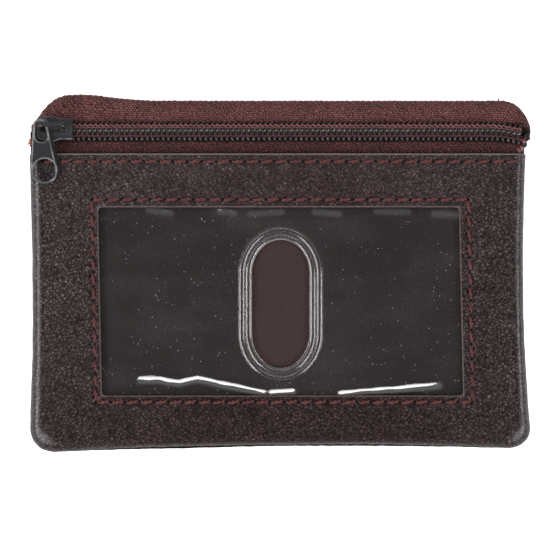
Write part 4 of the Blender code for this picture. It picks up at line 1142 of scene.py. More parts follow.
def tape_finish(name, colours, sizes):
    """Woven tape: rows of short slanting ribs of light yarn over a dark ground.

    It is fuzzy at its fold and ends, and painted darker as shade all over the lower tape, beside the coils
    and under the leather's edge.
    """
    finish = Finish(name)
    across, up, _ = finish.axes(finish.place("UV"))
    uneven = finish.clouds(finish.place(), 0.9 * MM, 3.0, 0.6)
    row = up / (0.66 * sizes.weave) + (uneven - 0.5) * 1.5
    offset = (row.whole() * 0.5).fraction()
    within = row.fraction()
    slant = across / sizes.weave + offset + (within - 0.5) * 0.35 + (uneven - 0.5) * 2.4
    rib = finish.ribs(slant).step(0.15, 0.85)
    bead = (within * math.pi).sine().step(0.15, 0.95)
    height = rib * bead
    fibre = finish.clouds(finish.mapped(finish.place(), (2.5, 1, 1), math.radians(20)), 0.20 * MM, 3.0, 0.7)
    light = (height * fibre.step(0.26, 0.62) * (0.3 + 2.2 * uneven) + 0.07).lowest(1.0)
    patches = finish.clouds(finish.place(), 6 * MM, 2.0, 0.5)
    yarn = finish.mix(light, colours.tape_dark, colours.tape_light)
    fuzzy = finish.attribute("fuzz") * fibre.step(0.35, 0.7)
    coloured = finish.mix(fuzzy, yarn, colours.tape_fuzz)
    # Painted shade: the tone is darkened by the shade marked on the tape's vertices.
    tone = (0.60 + 0.66 * patches) * (1.0 - 0.40 * finish.attribute("shaded"))
    colour = finish.shaded(coloured, tone)
    normal = finish.bump(height + fibre * 0.25, 0.13 * MM, 0.9)
    return finish.surface(
        Base_Color=colour, Roughness=0.88, Normal=normal, Sheen_Weight=0.10, Sheen_Roughness=0.5,
        Specular_IOR_Level=0.15)


def side_round(x, roll):
    """Share of its full height that a sheet keeps where its sides roll down into the seam."""
    inset = HALF_WIDTH - TAPE_SIDE_DRAW - abs(x)
    if inset >= roll:
        return 1.0
    away = 1 - max(inset, 0.0) / roll
    return math.sqrt(max(0.0, 1 - away * away))


def upper_tape_sheet():
    """The upper tape: from under the coil, over the fold at the top edge, and down to its hem at the back.

    Gives the sheet, its flat width and its flat length.
    """
    half = HALF_WIDTH - TAPE_SIDE_DRAW
    start = ZIP_Y + TAPE_START
    front_run = TOP_Y - TAPE_TOP_ROLL - start
    middle = (ZIP_HEIGHT + FLAP_Z) / 2
    depth = (ZIP_HEIGHT - FLAP_Z) / 2
    fold_run = math.pi * math.hypot(TAPE_TOP_ROLL, depth) / math.sqrt(2)
    back_run = TOP_Y - TAPE_TOP_ROLL - (BACK_EDGE_Y + LAYER_GAP)
    marks = [0.0, front_run, front_run + fold_run]
    marks += [marks[2] + back_run, marks[2] + back_run + TAPE_FLAP]
    spacings = [TAPE_SPACING, 0.25 * MM, 0.45 * MM, CLOTH_SPACING]
    bm = ruled_grid(spaced([-half, half], [FOLD_RIB / 4]), spaced(marks, spacings))
    fuzz = bm.verts.layers.float.new("fuzz")
    shaded = bm.verts.layers.float.new("shaded")
    for vertex in bm.verts:
        x, run = vertex.co.x, vertex.co.y
        inset = half - abs(x)
        radius = TOP_CORNER_RADIUS if x > 0 else TOP_LEFT_CORNER_RADIUS
        corner = max(0.0, radius - inset)
        fall = min(radius - math.sqrt(max(0.0, radius ** 2 - corner ** 2)), TOP_Y - start - 1.2 * MM)
        level = side_round(x, TAPE_SIDE_ROLL)
        roll = max(TAPE_TOP_ROLL - fall * 0.5, 0.6 * MM)
        roll_start = TOP_Y - fall - roll
        out, up = 0.0, 1.0
        if run <= marks[1]:
            y = start + (roll_start - start) * run / front_run
            lift = 1.0
        elif run <= marks[2]:
            angle = math.pi * (0.5 - (run - marks[1]) / fold_run)
            out, up = math.cos(angle), math.sin(angle)
            y = roll_start + roll * out
            lift = up
        else:
            y = roll_start - (run - marks[2])
            lift, up = -1.0, -1.0
        if run > marks[3]:
            y = BACK_EDGE_Y + LAYER_GAP - (run - marks[3]) * ease((half - 4 * MM - abs(x)) / (1.5 * MM))
        z = middle + depth * lift * level
        z += zip_fall(y) * (z - FLAP_Z) / (ZIP_HEIGHT - FLAP_Z)
        ribs = 0.5 + 0.5 * math.cos(2 * math.pi * x / FOLD_RIB)
        stand = (FOLD_RIB_RISE * ribs + FOLD_FUZZ_RISE * ripple(x, y, z, 0.9 * MM, 31.0)) * ease(out / 0.5)
        stand += TAPE_WAVE * ripple(x, run, 0, 5 * MM, 33.0)
        y += zip_dip(x) * (1 - ease(run / front_run)) if run < marks[1] else 0.0
        vertex[fuzz] = ease((out - 0.86) / 0.14) * 0.9
        # Painted shade beside the coil, darkest right under it.
        vertex[shaded] = 0.5 * (1 - ease(run / (3 * MM))) + 1.8 * (1 - ease((run - 1.6 * MM) / (0.4 * MM)))
        vertex.co = drawn(x, y + out * stand, z + up * stand * level)
        vertex.co.x += end_bulge(x, y)
    faced(bm, True)
    return bm, 2 * half, marks[-1]


def lower_tape_sheet():
    """The lower tape: from under the coil to its hem beneath the leather, its ends rolled into the seams.

    Gives the sheet, its flat width and its flat length.
    """
    half = HALF_WIDTH - TAPE_SIDE_DRAW
    tucked_half = HALF_WIDTH - LINING_EDGE_INSET - TAPE
    seam_top = SEAM_Z + LAYER_GAP / 2
    start = ZIP_Y - TAPE_START
    bm = ruled_grid(
        spaced([-half, half], [TAPE_SPACING]),
        spaced([TAPE_HEM_Y, FRONT_EDGE_Y - TAPE_TUCK, start], [2 * TAPE_SPACING, TAPE_SPACING]))
    fuzz = bm.verts.layers.float.new("fuzz")
    shaded = bm.verts.layers.float.new("shaded")
    for vertex in bm.verts:
        x, y = vertex.co.x, vertex.co.y
        free = ease((y - FRONT_EDGE_Y + TAPE_TUCK) / (2 * TAPE_TUCK))
        level = 1 + (side_round(x, TAPE_SIDE_ROLL) - 1) * free
        top = ZIP_HEIGHT + zip_fall(max(y, FRONT_EDGE_Y))
        z = seam_top + (top - seam_top) * level
        z += LOWER_TAPE_WAVE * ripple(x, y, 0, 4 * MM, 35.0) * free
        vertex[fuzz] = ease((abs(x) - half + 1.2 * MM) / (1.2 * MM)) * 0.7
        # Painted shade: the whole lower tape is darker, and darkest under the leather's edge and beside the
        # coil.
        under = 1 - ease((y - FRONT_EDGE_Y) / (0.55 * MM))
        vertex[shaded] = 1.0 + 1.2 * max(ease((y - ZIP_Y + 2.65 * MM) / (0.35 * MM)), under)
        y += zip_dip(x) * ease((y - FRONT_EDGE_Y) / (ZIP_Y - FRONT_EDGE_Y))
        vertex.co = drawn(x * (1 + (tucked_half / half - 1) * (1 - free)), y, z)
        vertex.co.x += end_bulge(x, y) * free
    faced(bm, True)
    return bm, 2 * half, start - TAPE_HEM_Y


class POUCH_OT_tapes(bpy.types.Operator):
    """Make the two woven zip tapes"""

    bl_idname = "pouch.tapes"
    bl_label = "Zip tapes"

    def execute(self, context):
        sizes = context.scene.pouch_sizes
        finish = tape_finish("tape_weave", context.scene.pouch_colours, sizes)
        for label, shape, held in (
                ("upper", upper_tape_sheet, "folded"),
                ("lower", lower_tape_sheet, "stretched")):
            bm, width, length = shape()
            piece = add_piece(bm, f"{label}_tape_cloth", [finish], "pouch", [f"zip_tape_{label}"])
            thicken(piece, TAPE)
        return {"FINISHED"}


def squared(value, power=0.6):
    """A cosine or sine drawn out towards its ends, so that a circle becomes a squarer oval."""
    return math.copysign(abs(value) ** power, value)


def coil_turns(side, sizes):
    """One half of the chain: a filament wound in flattened turns, its heads spread where they mesh."""
    wire = sizes.coil_wire / 2
    pitch = sizes.coil_pitch
    turns = int(2 * COIL_END / pitch) - 1
    guide = 0.6 * MM
    start = -COIL_END + pitch / 2 + (pitch / 2 if side < 0 else 0.0)
    half_across = (COIL_OUTER[side] + HEAD_REACH) / 2 - wire
    middle = (COIL_OUTER[side] - HEAD_REACH) / 2
    half_up = COIL_HEIGHT / 2 - wire
    level = COIL_BASE + COIL_HEIGHT / 2
    bm = bmesh.new()
    ring = bmesh.ops.create_circle(
        bm, segments=TURN_SIDES, radius=wire, matrix=Matrix.Translation((start, guide, 0)))
    bmesh.ops.spin(
        bm, geom=ring["verts"] + list(bm.edges), cent=(0, 0, 0), axis=(1, 0, 0), angle=2 * math.pi * turns,
        dvec=(pitch / TURN_STEPS, 0, 0), steps=TURN_STEPS * turns)
    bmesh.ops.holes_fill(bm, edges=[edge for edge in bm.edges if edge.is_boundary], sides=TURN_SIDES)
    wear_and_glint = bm.verts.layers.float.new("wear_and_glint")
    for vertex in bm.verts:
        x, y, z = vertex.co
        angle = math.atan2(z, y)
        thick = math.hypot(y, z) - guide
        share = (x - start) / pitch - angle / (2 * math.pi)
        centre = start + pitch * (round(share) + angle / (2 * math.pi))
        out, up = math.cos(angle), math.sin(angle)
        head = ease((-out - 0.55) / 0.4)
        new_y = middle + half_across * squared(out) + thick * out * (1 + 0.15 * head)
        new_z = level + half_up * squared(up) + thick * up
        new_x = -centre - (x - centre) * (1 + 0.30 * head)
        # Painted highlight: on the turns' tops, a bright glint on each upper head, grey bars on the lower
        # turns and light outer loops are marked to be painted.
        on_top = ease((up + 0.1) / 0.4) * ease((thick * up / wire + 0.2) / 0.6)
        loop = (0.60 if side < 0 else 0.35) * ease((out - 0.55) / 0.3)
        inner = 1.3 * hump(out + 0.82, 0.13) if side > 0 else 0.20 * ease((0.2 - out) / 0.3)
        vertex[wear_and_glint] = on_top * (inner + loop)
        vertex.co = (new_x, side * new_y + zip_dip(new_x), new_z)
    if side < 0:
        bmesh.ops.reverse_faces(bm, faces=bm.faces)
    return on_zip(bm)


def coil_finish(colours):
    """Moulded nylon filament: black and smooth, with dusty turns and painted glints on the heads, the lower
    turns and the outer loops.
    """
    finish = Finish("coil_nylon")
    place = finish.place()
    dust = finish.clouds(place, 0.9 * MM, 3.0, 0.6)
    # Dust is real; the vertex mark adds painted glints on the turns' tops.
    wear_and_glint = (dust.step(0.45, 0.8) * 0.22 + finish.attribute("wear_and_glint") * (0.15 + 1.1 * dust)).lowest(1.0)
    colour = finish.mix(wear_and_glint, colours.coil, colours.coil_dust_and_glint)
    normal = finish.bump(finish.clouds(place, 0.25 * MM), 0.02 * MM, 0.5)
    return finish.surface(
        Base_Color=colour, Roughness=0.22 + dust * 0.25, Normal=normal, Specular_IOR_Level=0.28)


def cord_finish(colours):
    """Twisted dark cotton cord inside the coils."""
    finish = Finish("filler_cotton")
    across, up, _ = finish.axes(finish.place())
    strand = finish.ribs(across + up * 1.5, 0.5 * MM)
    colour = finish.mix(strand, tuple(0.3 * part for part in colours.tape_dark), colours.tape_dark)
    return finish.surface(
        Base_Color=colour, Roughness=0.9, Normal=finish.bump(strand, 0.04 * MM, 0.6))


class POUCH_OT_coils(bpy.types.Operator):
    """Make the zip's two coils and finish the cords inside them"""

    bl_idname = "pouch.coils"
    bl_label = "Zip coils"

    def execute(self, context):
        sizes = context.scene.pouch_sizes
        colours = context.scene.pouch_colours
        nylon = coil_finish(colours)
        cotton = cord_finish(colours)
        for label, side in (("upper", 1), ("lower", -1)):
            bm = coil_turns(side, sizes)
            add_piece(bm, f"{label}_coil_turns", [nylon], "pouch", [f"zip_coil_{label}"])
            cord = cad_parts[f"filler_cord_{label}"]
            cord.data.materials.clear()
            cord.data.materials.append(cotton)
        return {"FINISHED"}


def chain_threads(side, sizes, seed):
    """The two threads that tie a coil to its tape: one slants over each tooth, one runs beside it."""
    pitch = sizes.coil_pitch
    middle = side * THREAD_MIDDLE[side]
    level = COIL_BASE + COIL_HEIGHT
    length = 2 * COIL_END - pitch
    pitches = int(length / pitch)
    across, up = Vector((0, 1, 0)), Vector((0, 0, 1))
    bm = bmesh.new()

    def slanting(share):
        x = -length / 2 + share * length
        turn = 2 * math.pi * (x / pitch - 0.083)
        y = middle + side * (0.10 + 0.25 * math.sin(turn + 0.8 * math.sin(turn))) * MM + zip_dip(x)
        z = level + 0.06 * MM * math.cos(turn) + 0.03 * MM * ripple(x, y, 0, 0.9 * MM, seed)
        return Vector((x, y, z)), across, up

    def straight(share):
        x = -length / 2 + share * length
        y = middle - side * 0.46 * MM + 0.04 * MM * math.sin(2 * math.pi * x / pitch) + zip_dip(x)
        z = level + (0.02 if side > 0 else -0.05) * MM
        return Vector((x, y, z)), across, up

    tube(bm, slanting, 0.27 * MM, sides=6, steps=10 * pitches)
    tube(bm, straight, 0.12 * MM, sides=5, steps=4 * pitches)
    return on_zip(bm)


def thread_finish(name, colour, dark):
    """Twisted sewing thread: slanting plies, a little fuzz and worn light fibres."""
    finish = Finish(name)
    place = finish.place()
    across, up, _ = finish.axes(place)
    ply = finish.ribs(across * 1.1 + up * 0.9, 0.60 * MM)
    fibre = finish.clouds(place, 0.16 * MM, 3.0, 0.7)
    patch = finish.clouds(place, 2.5 * MM, 2.0, 0.5)
    light = (ply * 0.75 + fibre * 0.50) * (0.50 + 1.0 * patch)
    shade = finish.mix(light.step(0.15, 0.95), tuple(dark * part for part in colour), tuple(colour))
    normal = finish.bump(ply * 0.6 + fibre * 0.5, 0.05 * MM, 0.8)
    return finish.surface(
        Base_Color=shade, Roughness=0.75, Normal=normal, Sheen_Weight=0.1, Sheen_Roughness=0.5,
        Specular_IOR_Level=0.2)


class POUCH_OT_chain_threads(bpy.types.Operator):
    """Sew the coils to their tapes"""

    bl_idname = "pouch.chain_threads"
    bl_label = "Coil stitching"

    def execute(self, context):
        sizes = context.scene.pouch_sizes
        colour = context.scene.pouch_colours.zip_thread
        # The lower threads are painted darker as shade.
        for label, side, thread_shade_level in (("upper", 1, 1.0), ("lower", -1, LOWER_THREAD_SHADE)):
            finish = thread_finish(f"zip_thread_{label}", tuple(thread_shade_level * part for part in colour), 0.22)
            bm = chain_threads(side, sizes, 41.0 + side)
            add_piece(bm, f"{label}_chain_threads", [finish], "pouch", [f"coil_stitching_{label}"])
        return {"FINISHED"}


def mirrored(half):
    """A whole outline from its upper half, which runs along X."""
    return half + [(x, -y) for x, y in reversed(half)]


def slider_half(x):
    """The slider's half width at a distance from its nose: a rounded crown that narrows to its tail."""
    if x < SLIDER_CROWN:
        share = math.sin(math.pi / 2 * max(x, 0.0) / SLIDER_CROWN)
        return SLIDER_NOSE_HALF + (SLIDER_CROWN_HALF - SLIDER_NOSE_HALF) * share
    narrowed = ease((x - SLIDER_CROWN) / (SLIDER_WAIST - SLIDER_CROWN))
    return SLIDER_CROWN_HALF + (SLIDER_TAIL_HALF - SLIDER_CROWN_HALF) * narrowed


def plate(bm, outline, low, high, round_top=0.0, round_bottom=0.0):
    """A plate of constant outline, with its upper and lower rims rounded."""
    face = bm.faces.new([bm.verts.new((x, y, low)) for x, y in outline])
    lifted = bmesh.ops.extrude_face_region(bm, geom=[face])
    top = [part for part in lifted["geom"] if isinstance(part, bmesh.types.BMVert)]
    bmesh.ops.translate(bm, verts=top, vec=(0, 0, high - low))
    shell = {face} | {other for vertex in top for other in vertex.link_faces}
    bmesh.ops.recalc_face_normals(bm, faces=list(shell))
    for level, size in ((high, round_top), (low, round_bottom)):
        if size:
            rim = {edge for piece in shell if piece.is_valid for edge in piece.edges}
            rim = [edge for edge in rim if all(abs(end.co.z - level) < 1e-7 for end in edge.verts)]
            bmesh.ops.bevel(
                bm, geom=rim, offset=size, offset_type="OFFSET", segments=RIM_SEGMENTS, profile=0.5,
                affect="EDGES", material=-1, clamp_overlap=True)


def slider_casting():
    """The slider: its upper plate with two lips, its lower plate and the neck between them."""
    bm = bmesh.new()
    places = spaced([0.0, SLIDER_LENGTH], [0.35 * MM])
    upper = [(SLIDER_NOSE_X + x, slider_half(x)) for x in places]
    plate(bm, mirrored(upper), UPPER_PLATE_BASE, UPPER_PLATE_TOP, 0.30 * MM, 0.08 * MM)
    for vertex in bm.verts:
        if vertex.co.z > UPPER_PLATE_BASE + 0.4 * MM:
            across = abs(vertex.co.y) / SLIDER_CROWN_HALF
            vertex.co.z -= ROOF_DROP * max(0.0, across - 0.12)
    for side in (1, -1):
        inner = [(x, SLIDER_INNER_HALF) for x, y in reversed(upper)]
        lip = [(x, side * max(y - 0.03 * MM, SLIDER_INNER_HALF + 0.2 * MM)) for x, y in upper]
        lip += [(x, side * y) for x, y in inner]
        plate(bm, lip if side < 0 else lip[::-1], 0.15 * MM, UPPER_PLATE_BASE + 0.3 * MM, 0.0, 0.12 * MM)
    places = spaced([0.6 * MM, SLIDER_LENGTH], [0.5 * MM])
    lower = [(SLIDER_NOSE_X + x, slider_half(x)) for x in places]
    plate(bm, mirrored(lower), LOWER_PLATE_BASE, LOWER_PLATE_TOP, 0.10 * MM, 0.30 * MM)
    neck_start = SLIDER_NOSE_X + 1.2 * MM
    neck = [(neck_start, -0.4 * MM), (neck_start + 1.5 * MM, -0.4 * MM)]
    plate(bm, mirrored(neck), LOWER_PLATE_TOP - 0.3 * MM, UPPER_PLATE_BASE + 0.3 * MM)
    return on_zip(bm)


def rub_edges(bm):
    """Mark the rounded edges that hands rub: the vertices that touch only small faces and look up."""
    wear_and_glint = bm.verts.layers.float.new("wear_and_glint")
    bm.normal_update()
    for vertex in bm.verts:
        small = all(face.calc_area() < (0.30 * MM) ** 2 for face in vertex.link_faces)
        vertex[wear_and_glint] = ease((vertex.normal.z - 0.1) / 0.5) if small else 0.0
    return bm


def metal_finish(colours):
    """Satin black paint over a casting, worn thin on its edges."""
    finish = Finish("painted_casting")
    place = finish.place()
    scuffs = finish.clouds(finish.mapped(place, (3, 1, 1), math.radians(25)), 0.5 * MM, 4.0, 0.65)
    patchy = finish.clouds(place, 2.4 * MM, 2.0, 0.5).step(0.40, 0.60)
    wear_and_glint = finish.attribute("wear_and_glint") * (0.35 + 0.65 * scuffs) * (0.35 + 0.75 * patchy)
    bare = (wear_and_glint * 0.75 + scuffs.step(0.60, 0.8) * 0.15).lowest(1.0)
    colour = finish.mix(bare, colours.metal, colours.metal_worn)
    skin = finish.clouds(place, 0.30 * MM, 3.0, 0.6)
    normal = finish.bump(skin + scuffs * 0.5, 0.03 * MM, 0.6)
    return finish.surface(
        Base_Color=colour, Roughness=0.30 + scuffs * 0.18, Metallic=0.15, Normal=normal,
        Coat_Weight=0.2, Coat_Roughness=0.15)


def bail_strap():
    """The bail: a bar bent down at both ends over the slider's upper plate."""
    left = SLIDER_NOSE_X + BAIL_FROM_NOSE
    right = left + BAIL_SPAN
    foot = UPPER_PLATE_TOP - 0.1 * MM
    bar = UPPER_PLATE_TOP + 0.1 * MM + BAIL_OPENING
    corner = 0.9 * MM
    inner_corner = 0.25 * MM

    def arch(inset, top, radius):
        points = [(left + inset, foot)]
        for step in range(7):
            angle = math.pi / 2 * step / 6
            x = left + inset + radius * (1 - math.cos(angle))
            points.append((x, top - radius * (1 - math.sin(angle))))
        return points + [(left + right - x, z) for x, z in reversed(points)]

    outline = arch(0.0, bar + BAIL_BAR, corner) + arch(BAIL_SECTION, bar, inner_corner)[::-1]
    bm = bmesh.new()
    plate(bm, outline, -BAIL_SECTION / 2, BAIL_SECTION / 2, 0.2 * MM, 0.2 * MM)
    bmesh.ops.rotate(bm, verts=bm.verts, cent=(0, 0, 0), matrix=Matrix.Rotation(math.pi / 2, 3, "X"))
    foot_x = right - BAIL_SECTION / 2
    pad = [(-0.65, -0.6), (0.65, -0.6), (0.65, 0.6), (-0.65, 0.6)]
    plate(bm, [(foot_x + x * MM, y * MM) for x, y in pad], foot, foot + 0.35 * MM, 0.12 * MM)
    return on_zip(bm)


class POUCH_OT_slider(bpy.types.Operator):
    """Make the slider and its bail"""

    bl_idname = "pouch.slider"
    bl_label = "Slider and bail"

    def execute(self, context):
        finish = metal_finish(context.scene.pouch_colours)
        for name, shape, node in (
                ("slider_casting", slider_casting, "slider_body"),
                ("bail_strap", bail_strap, "slider_bail")):
            bm = rub_edges(shape())
            add_piece(bm, name, [finish], "slider", [node], CASTING_SHARP)
        return {"FINISHED"}


def arc_points(centre_y, radius, start, end, steps):
    """Points on a circle about a place on the puller's middle line, between two angles in degrees."""
    angles = [math.radians(start + (end - start) * step / steps) for step in range(steps + 1)]
    return [Vector((radius * math.cos(angle), centre_y + radius * math.sin(angle), 0)) for angle in angles]


def two_circles(first_radius, second_y, second_radius, steps):
    """Two circles on a line down from the origin, and the tangents between them."""
    lean = math.degrees(math.asin((second_radius - first_radius) / abs(second_y)))
    first = arc_points(0, first_radius, lean, 180 - lean, steps)
    return first + arc_points(second_y, second_radius, 180 - lean, 360 + lean, steps)


def right_flank(points, amount):
    """An outline with its right side moved outwards, or inwards if the amount is negative."""
    moved = []
    for index, point in enumerate(points):
        along = (points[(index + 1) % len(points)] - points[index - 1]).normalized()
        out = Vector((along.y, -along.x, 0))
        above_end = ease((point.y + PULLER_LENGTH + 2.2 * MM) / (1.5 * MM))
        moved.append(point + out * amount * ease((out.x - 0.2) / 0.6) * above_end)
    return moved


def puller_plate(bm, base, top, holes):
    """The puller's flat plate with its two holes, wider at its base than at its top."""
    edges = []
    for ring in (base, *holes):
        verts = [bm.verts.new(point) for point in ring]
        edges += [bm.edges.new((a, b)) for a, b in zip(verts, verts[1:] + verts[:1])]
    filled = bmesh.ops.triangle_fill(bm, edges=edges, use_beauty=True, use_dissolve=False)
    faces = [part for part in filled["geom"] if isinstance(part, bmesh.types.BMFace)]
    lifted = bmesh.ops.extrude_face_region(bm, geom=faces, use_keep_orig=True)
    for part in lifted["geom"]:
        if isinstance(part, bmesh.types.BMVert):
            nearest = min(range(len(base)), key=lambda index: (base[index] - part.co).length)
            if (base[nearest] - part.co).length < 1e-6:
                part.co = top[nearest]
            part.co.z += PULLER_FLOOR


def pull_tab():
    """The pull tab: an eye round the bail's leg, a bare sunk panel, and a finger hole with a raised ring."""
    up = Vector((0, 0, 1))
    outline = two_circles(EYE_OUTER, -PULLER_LENGTH, FINGER_END, 20)
    top = right_flank(outline, -0.34 * MM)
    eye_lean = math.degrees(math.asin((EYE_FOOT - EYE_HOLE) / EYE_DROP))
    eye = arc_points(0, EYE_HOLE, eye_lean, 180 - eye_lean, 12)
    eye += arc_points(-EYE_DROP, EYE_FOOT, 180 - eye_lean, 360 + eye_lean, 12)
    finger = arc_points(-PULLER_LENGTH, FINGER_HOLE, 0, 360, 40)[:-1]
    bm = bmesh.new()
    puller_plate(bm, right_flank(outline, 0.25 * MM), top, (eye, finger))
    for edge, inset, sunk, steps, stretch in (
            (top, PULLER_RIM, 0.08 * MM, 96, 1.5),
            (eye, -PULLER_RIM, 0.05 * MM, 48, 1.15),
            (finger, -PULLER_RIM, 0.06 * MM, 48, 1.3)):
        route = outline_route(edge, up, inset, PULLER_FLOOR - sunk)
        tube(bm, route, PULLER_RIM, 8, steps, True, stretch)
    bmesh.ops.recalc_face_normals(bm, faces=bm.faces)
    leg_height = PULLER_BASE_Z + PULLER_THICK / 2 - ZIP_HEIGHT
    hinge = Vector((BAIL_LEG_X, ZIP_Y + leg_height * math.tan(ZIP_SLOPE), PULLER_BASE_Z))
    place = Matrix.Translation(hinge) @ Matrix.Rotation(PULLER_LEAN, 4, "Z")
    bmesh.ops.transform(bm, matrix=place, verts=bm.verts)
    return bm


class POUCH_OT_puller(bpy.types.Operator):
    """Make the pull tab"""

    bl_idname = "pouch.puller"
    bl_label = "Pull tab"

    def execute(self, context):
        finish = bpy.data.materials["painted_casting"]
        bm = rub_edges(pull_tab())
        add_piece(bm, "pull_tab", [finish], "puller", ["puller"], CASTING_SHARP)
        return {"FINISHED"}


def stitch(bm, start, end, normal, sizes, slant, arch):
    """One stitch: two twisted plies, arched between two needle holes and pointed at their ends."""
    along = (end - start).normalized()
    across = normal.cross(along)
    ply = sizes.thread * 0.30
    for phase in (0.0, math.pi):
        def route(share, phase=phase):
            place = start.lerp(end, share) + across * slant * (share - 0.5)
            rise = math.sin(math.pi * share)
            lift = arch * (rise ** 0.7) - STITCH_DIP * (1 - rise) ** 2
            turn = phase + 2 * math.pi * PLY_TURNS * share
            around = across * math.cos(turn) + normal * math.sin(turn)
            return place + normal * lift + around * ply * 0.85, across, normal

        def radius(share):
            return ply * (0.55 + 0.65 * math.sin(math.pi * share) ** 0.5)

        tube(bm, route, radius, sides=5, steps=7)


class POUCH_OT_stitches(bpy.types.Operator):
    """Sew the rows along the leather's edges and round the window"""

    bl_idname = "pouch.stitches"
    bl_label = "Stitches"

    def execute(self, context):
        sizes = context.scene.pouch_sizes
        finish = thread_finish("sewing_thread", context.scene.pouch_colours.thread, 0.10)
        loose = random.Random(7)
        rows = stitch_rows(True)
        groups = (
            ("edge_stitches", "front_edge_stitching", rows[:1], 1),
            ("window_stitches", "window_stitching", rows[1:], 1),
            ("back_edge_stitches", "back_edge_stitching", stitch_rows(False), -1),
        )
        for name, node, group, side in groups:
            bm = bmesh.new()
            normal = Vector((0, 0, side))
            for start, end in group:
                count = stitch_count(start, end, sizes.stitch)
                pitch = (end - start) / count
                for index in range(count):
                    first = start + pitch * (index + 0.10 + loose.uniform(-0.02, 0.02))
                    last = start + pitch * (index + 0.90 + loose.uniform(-0.02, 0.02))
                    ends = []
                    for point in (first, last):
                        level = face_height(point.x, point.y) if side > 0 else drawn(point.x, point.y, 0).z
                        ends.append(Vector((point.x, point.y, level + side * 0.04 * MM)))
                    slant = side * (0.42 + loose.uniform(-0.12, 0.12)) * MM
                    stitch(bm, *ends, normal, sizes, slant, (0.14 + loose.uniform(-0.03, 0.03)) * MM)
            bmesh.ops.recalc_face_normals(bm, faces=bm.faces)
            add_piece(bm, name, [finish], "pouch", [node])
        return {"FINISHED"}


def seam_place(distance):
    """A point in the valley of the turned seam, at a distance from the top of its left leg.

    Gives the point, the way out of the valley, and the seam's whole length.
    """
    radius = CORNER_RADIUS - 1.0 * MM
    side = CORNER_X + radius
    leg = FRONT_EDGE_Y - CORNER_Y
    turn_run = math.pi / 2 * radius
    base = 2 * CORNER_X
    total = 2 * leg + 2 * turn_run + base
    left = distance <= total / 2
    run = distance if left else total - distance
    way = -1 if left else 1
    if run < leg:
        return Vector((way * side, FRONT_EDGE_Y - run)), Vector((way, 0)), total
    if run < leg + turn_run:
        angle = (run - leg) / radius
        out = Vector((way * math.cos(angle), -math.sin(angle)))
        return Vector((way * CORNER_X, CORNER_Y)) + out * radius, out, total
    x = way * (CORNER_X - (run - leg - turn_run))
    return Vector((x, CORNER_Y - radius)), Vector((0, -1)), total


class POUCH_OT_seam(bpy.types.Operator):
    """Sew the turned seam that joins the front and back leather"""

    bl_idname = "pouch.seam"
    bl_label = "Seam thread"

    def execute(self, context):
        sizes = context.scene.pouch_sizes
        finish = bpy.data.materials["sewing_thread"]
        total = seam_place(0.0)[2]
        count = round(total / sizes.seam_stitch)
        bm = bmesh.new()
        for index in range(count):
            ends = []
            for share in (0.08, 0.92):
                place, out, _ = seam_place((index + share) * total / count)
                ends.append(drawn(place.x, place.y, SEAM_Z))
            stitch(bm, *ends, out.to_3d(), sizes, 0.15 * MM, 0.12 * MM)
        bmesh.ops.recalc_face_normals(bm, faces=bm.faces)
        add_piece(bm, "seam_stitches", [finish], "pouch", ["seam_thread"])
        return {"FINISHED"}


MELTED_LUMPS_MM = (
    ((56.0, 31.2, 7.2), (0.75, 0.85, 0.6), 3.0),
    ((55.5, 29.6, 7.1), (0.55, 0.75, 0.5), 4.0),
)
FUSED_LUMPS_MM = (
    ((55.3, 30.4, 7.5), (0.55, 0.6, 0.45), 5.0),
    ((54.9, 28.6, 7.3), (0.5, 0.7, 0.5), 6.0),
    ((54.1, 28.2, 7.6), (0.4, 0.6, 0.3), 7.0),
)


def lumps(places):
    """Small melted lumps, each with its place, its radii and the seed of its unevenness."""
    bm = bmesh.new()
    for place, radii, seed in places:
        made = bmesh.ops.create_icosphere(bm, subdivisions=3, radius=1)
        for vertex in made["verts"]:
            swell = 1 + 0.35 * ripple(*vertex.co, 0.8, seed)
            reach = Vector(part * radius for part, radius in zip(vertex.co, radii))
            vertex.co = (Vector(place) + reach * swell) * MM
    return bm


def fused_finish(colours):
    """Tape yarn melted hard and shiny where it was cut off hot."""
    finish = Finish("fused_yarn")
    place = finish.place()
    beads = finish.clouds(place, 0.35 * MM, 3.0, 0.6)
    colour = finish.mix(beads.step(0.35, 0.65), colours.tape_dark, colours.tape_light)
    return finish.surface(
        Base_Color=colour, Roughness=0.35, Normal=finish.bump(beads, 0.10 * MM, 0.9))


LOOSE_FIBRES_MM = (
    ((-56.2, 30.6, 5.6), (-57.1, 30.2, 5.9)),
    ((-56.2, 30.3, 5.5), (-57.3, 29.6, 5.6)),
    ((-56.2, 30.0, 5.4), (-56.9, 29.2, 5.5)),
    ((-56.2, 30.8, 5.7), (-56.8, 31.0, 6.1)),
    ((-56.2, 29.9, 5.2), (-57.2, 30.0, 5.0)),
)
BLACK_FIBRE_MM = (((49.6, 38.6, 4.2), (49.9, 40.3, 4.5)),)


def loose_fibres(lines):
    """Short tapered tips of thread, each a little bent."""
    bm = bmesh.new()
    for index, (start, end) in enumerate(lines):
        first, last = Vector(start) * MM, Vector(end) * MM
        along = (last - first).normalized()
        across = along.cross(Vector((0, 0, 1))).normalized()

        def route(share):
            bend = math.sin(2.2 * share + index) * 0.15 * MM * share
            return first.lerp(last, share) + across * bend, across, across.cross(along)

        tube(bm, route, lambda share: (0.25 - 0.12 * share) * MM, sides=5, steps=5)
    bmesh.ops.recalc_face_normals(bm, faces=bm.faces)
    return bm


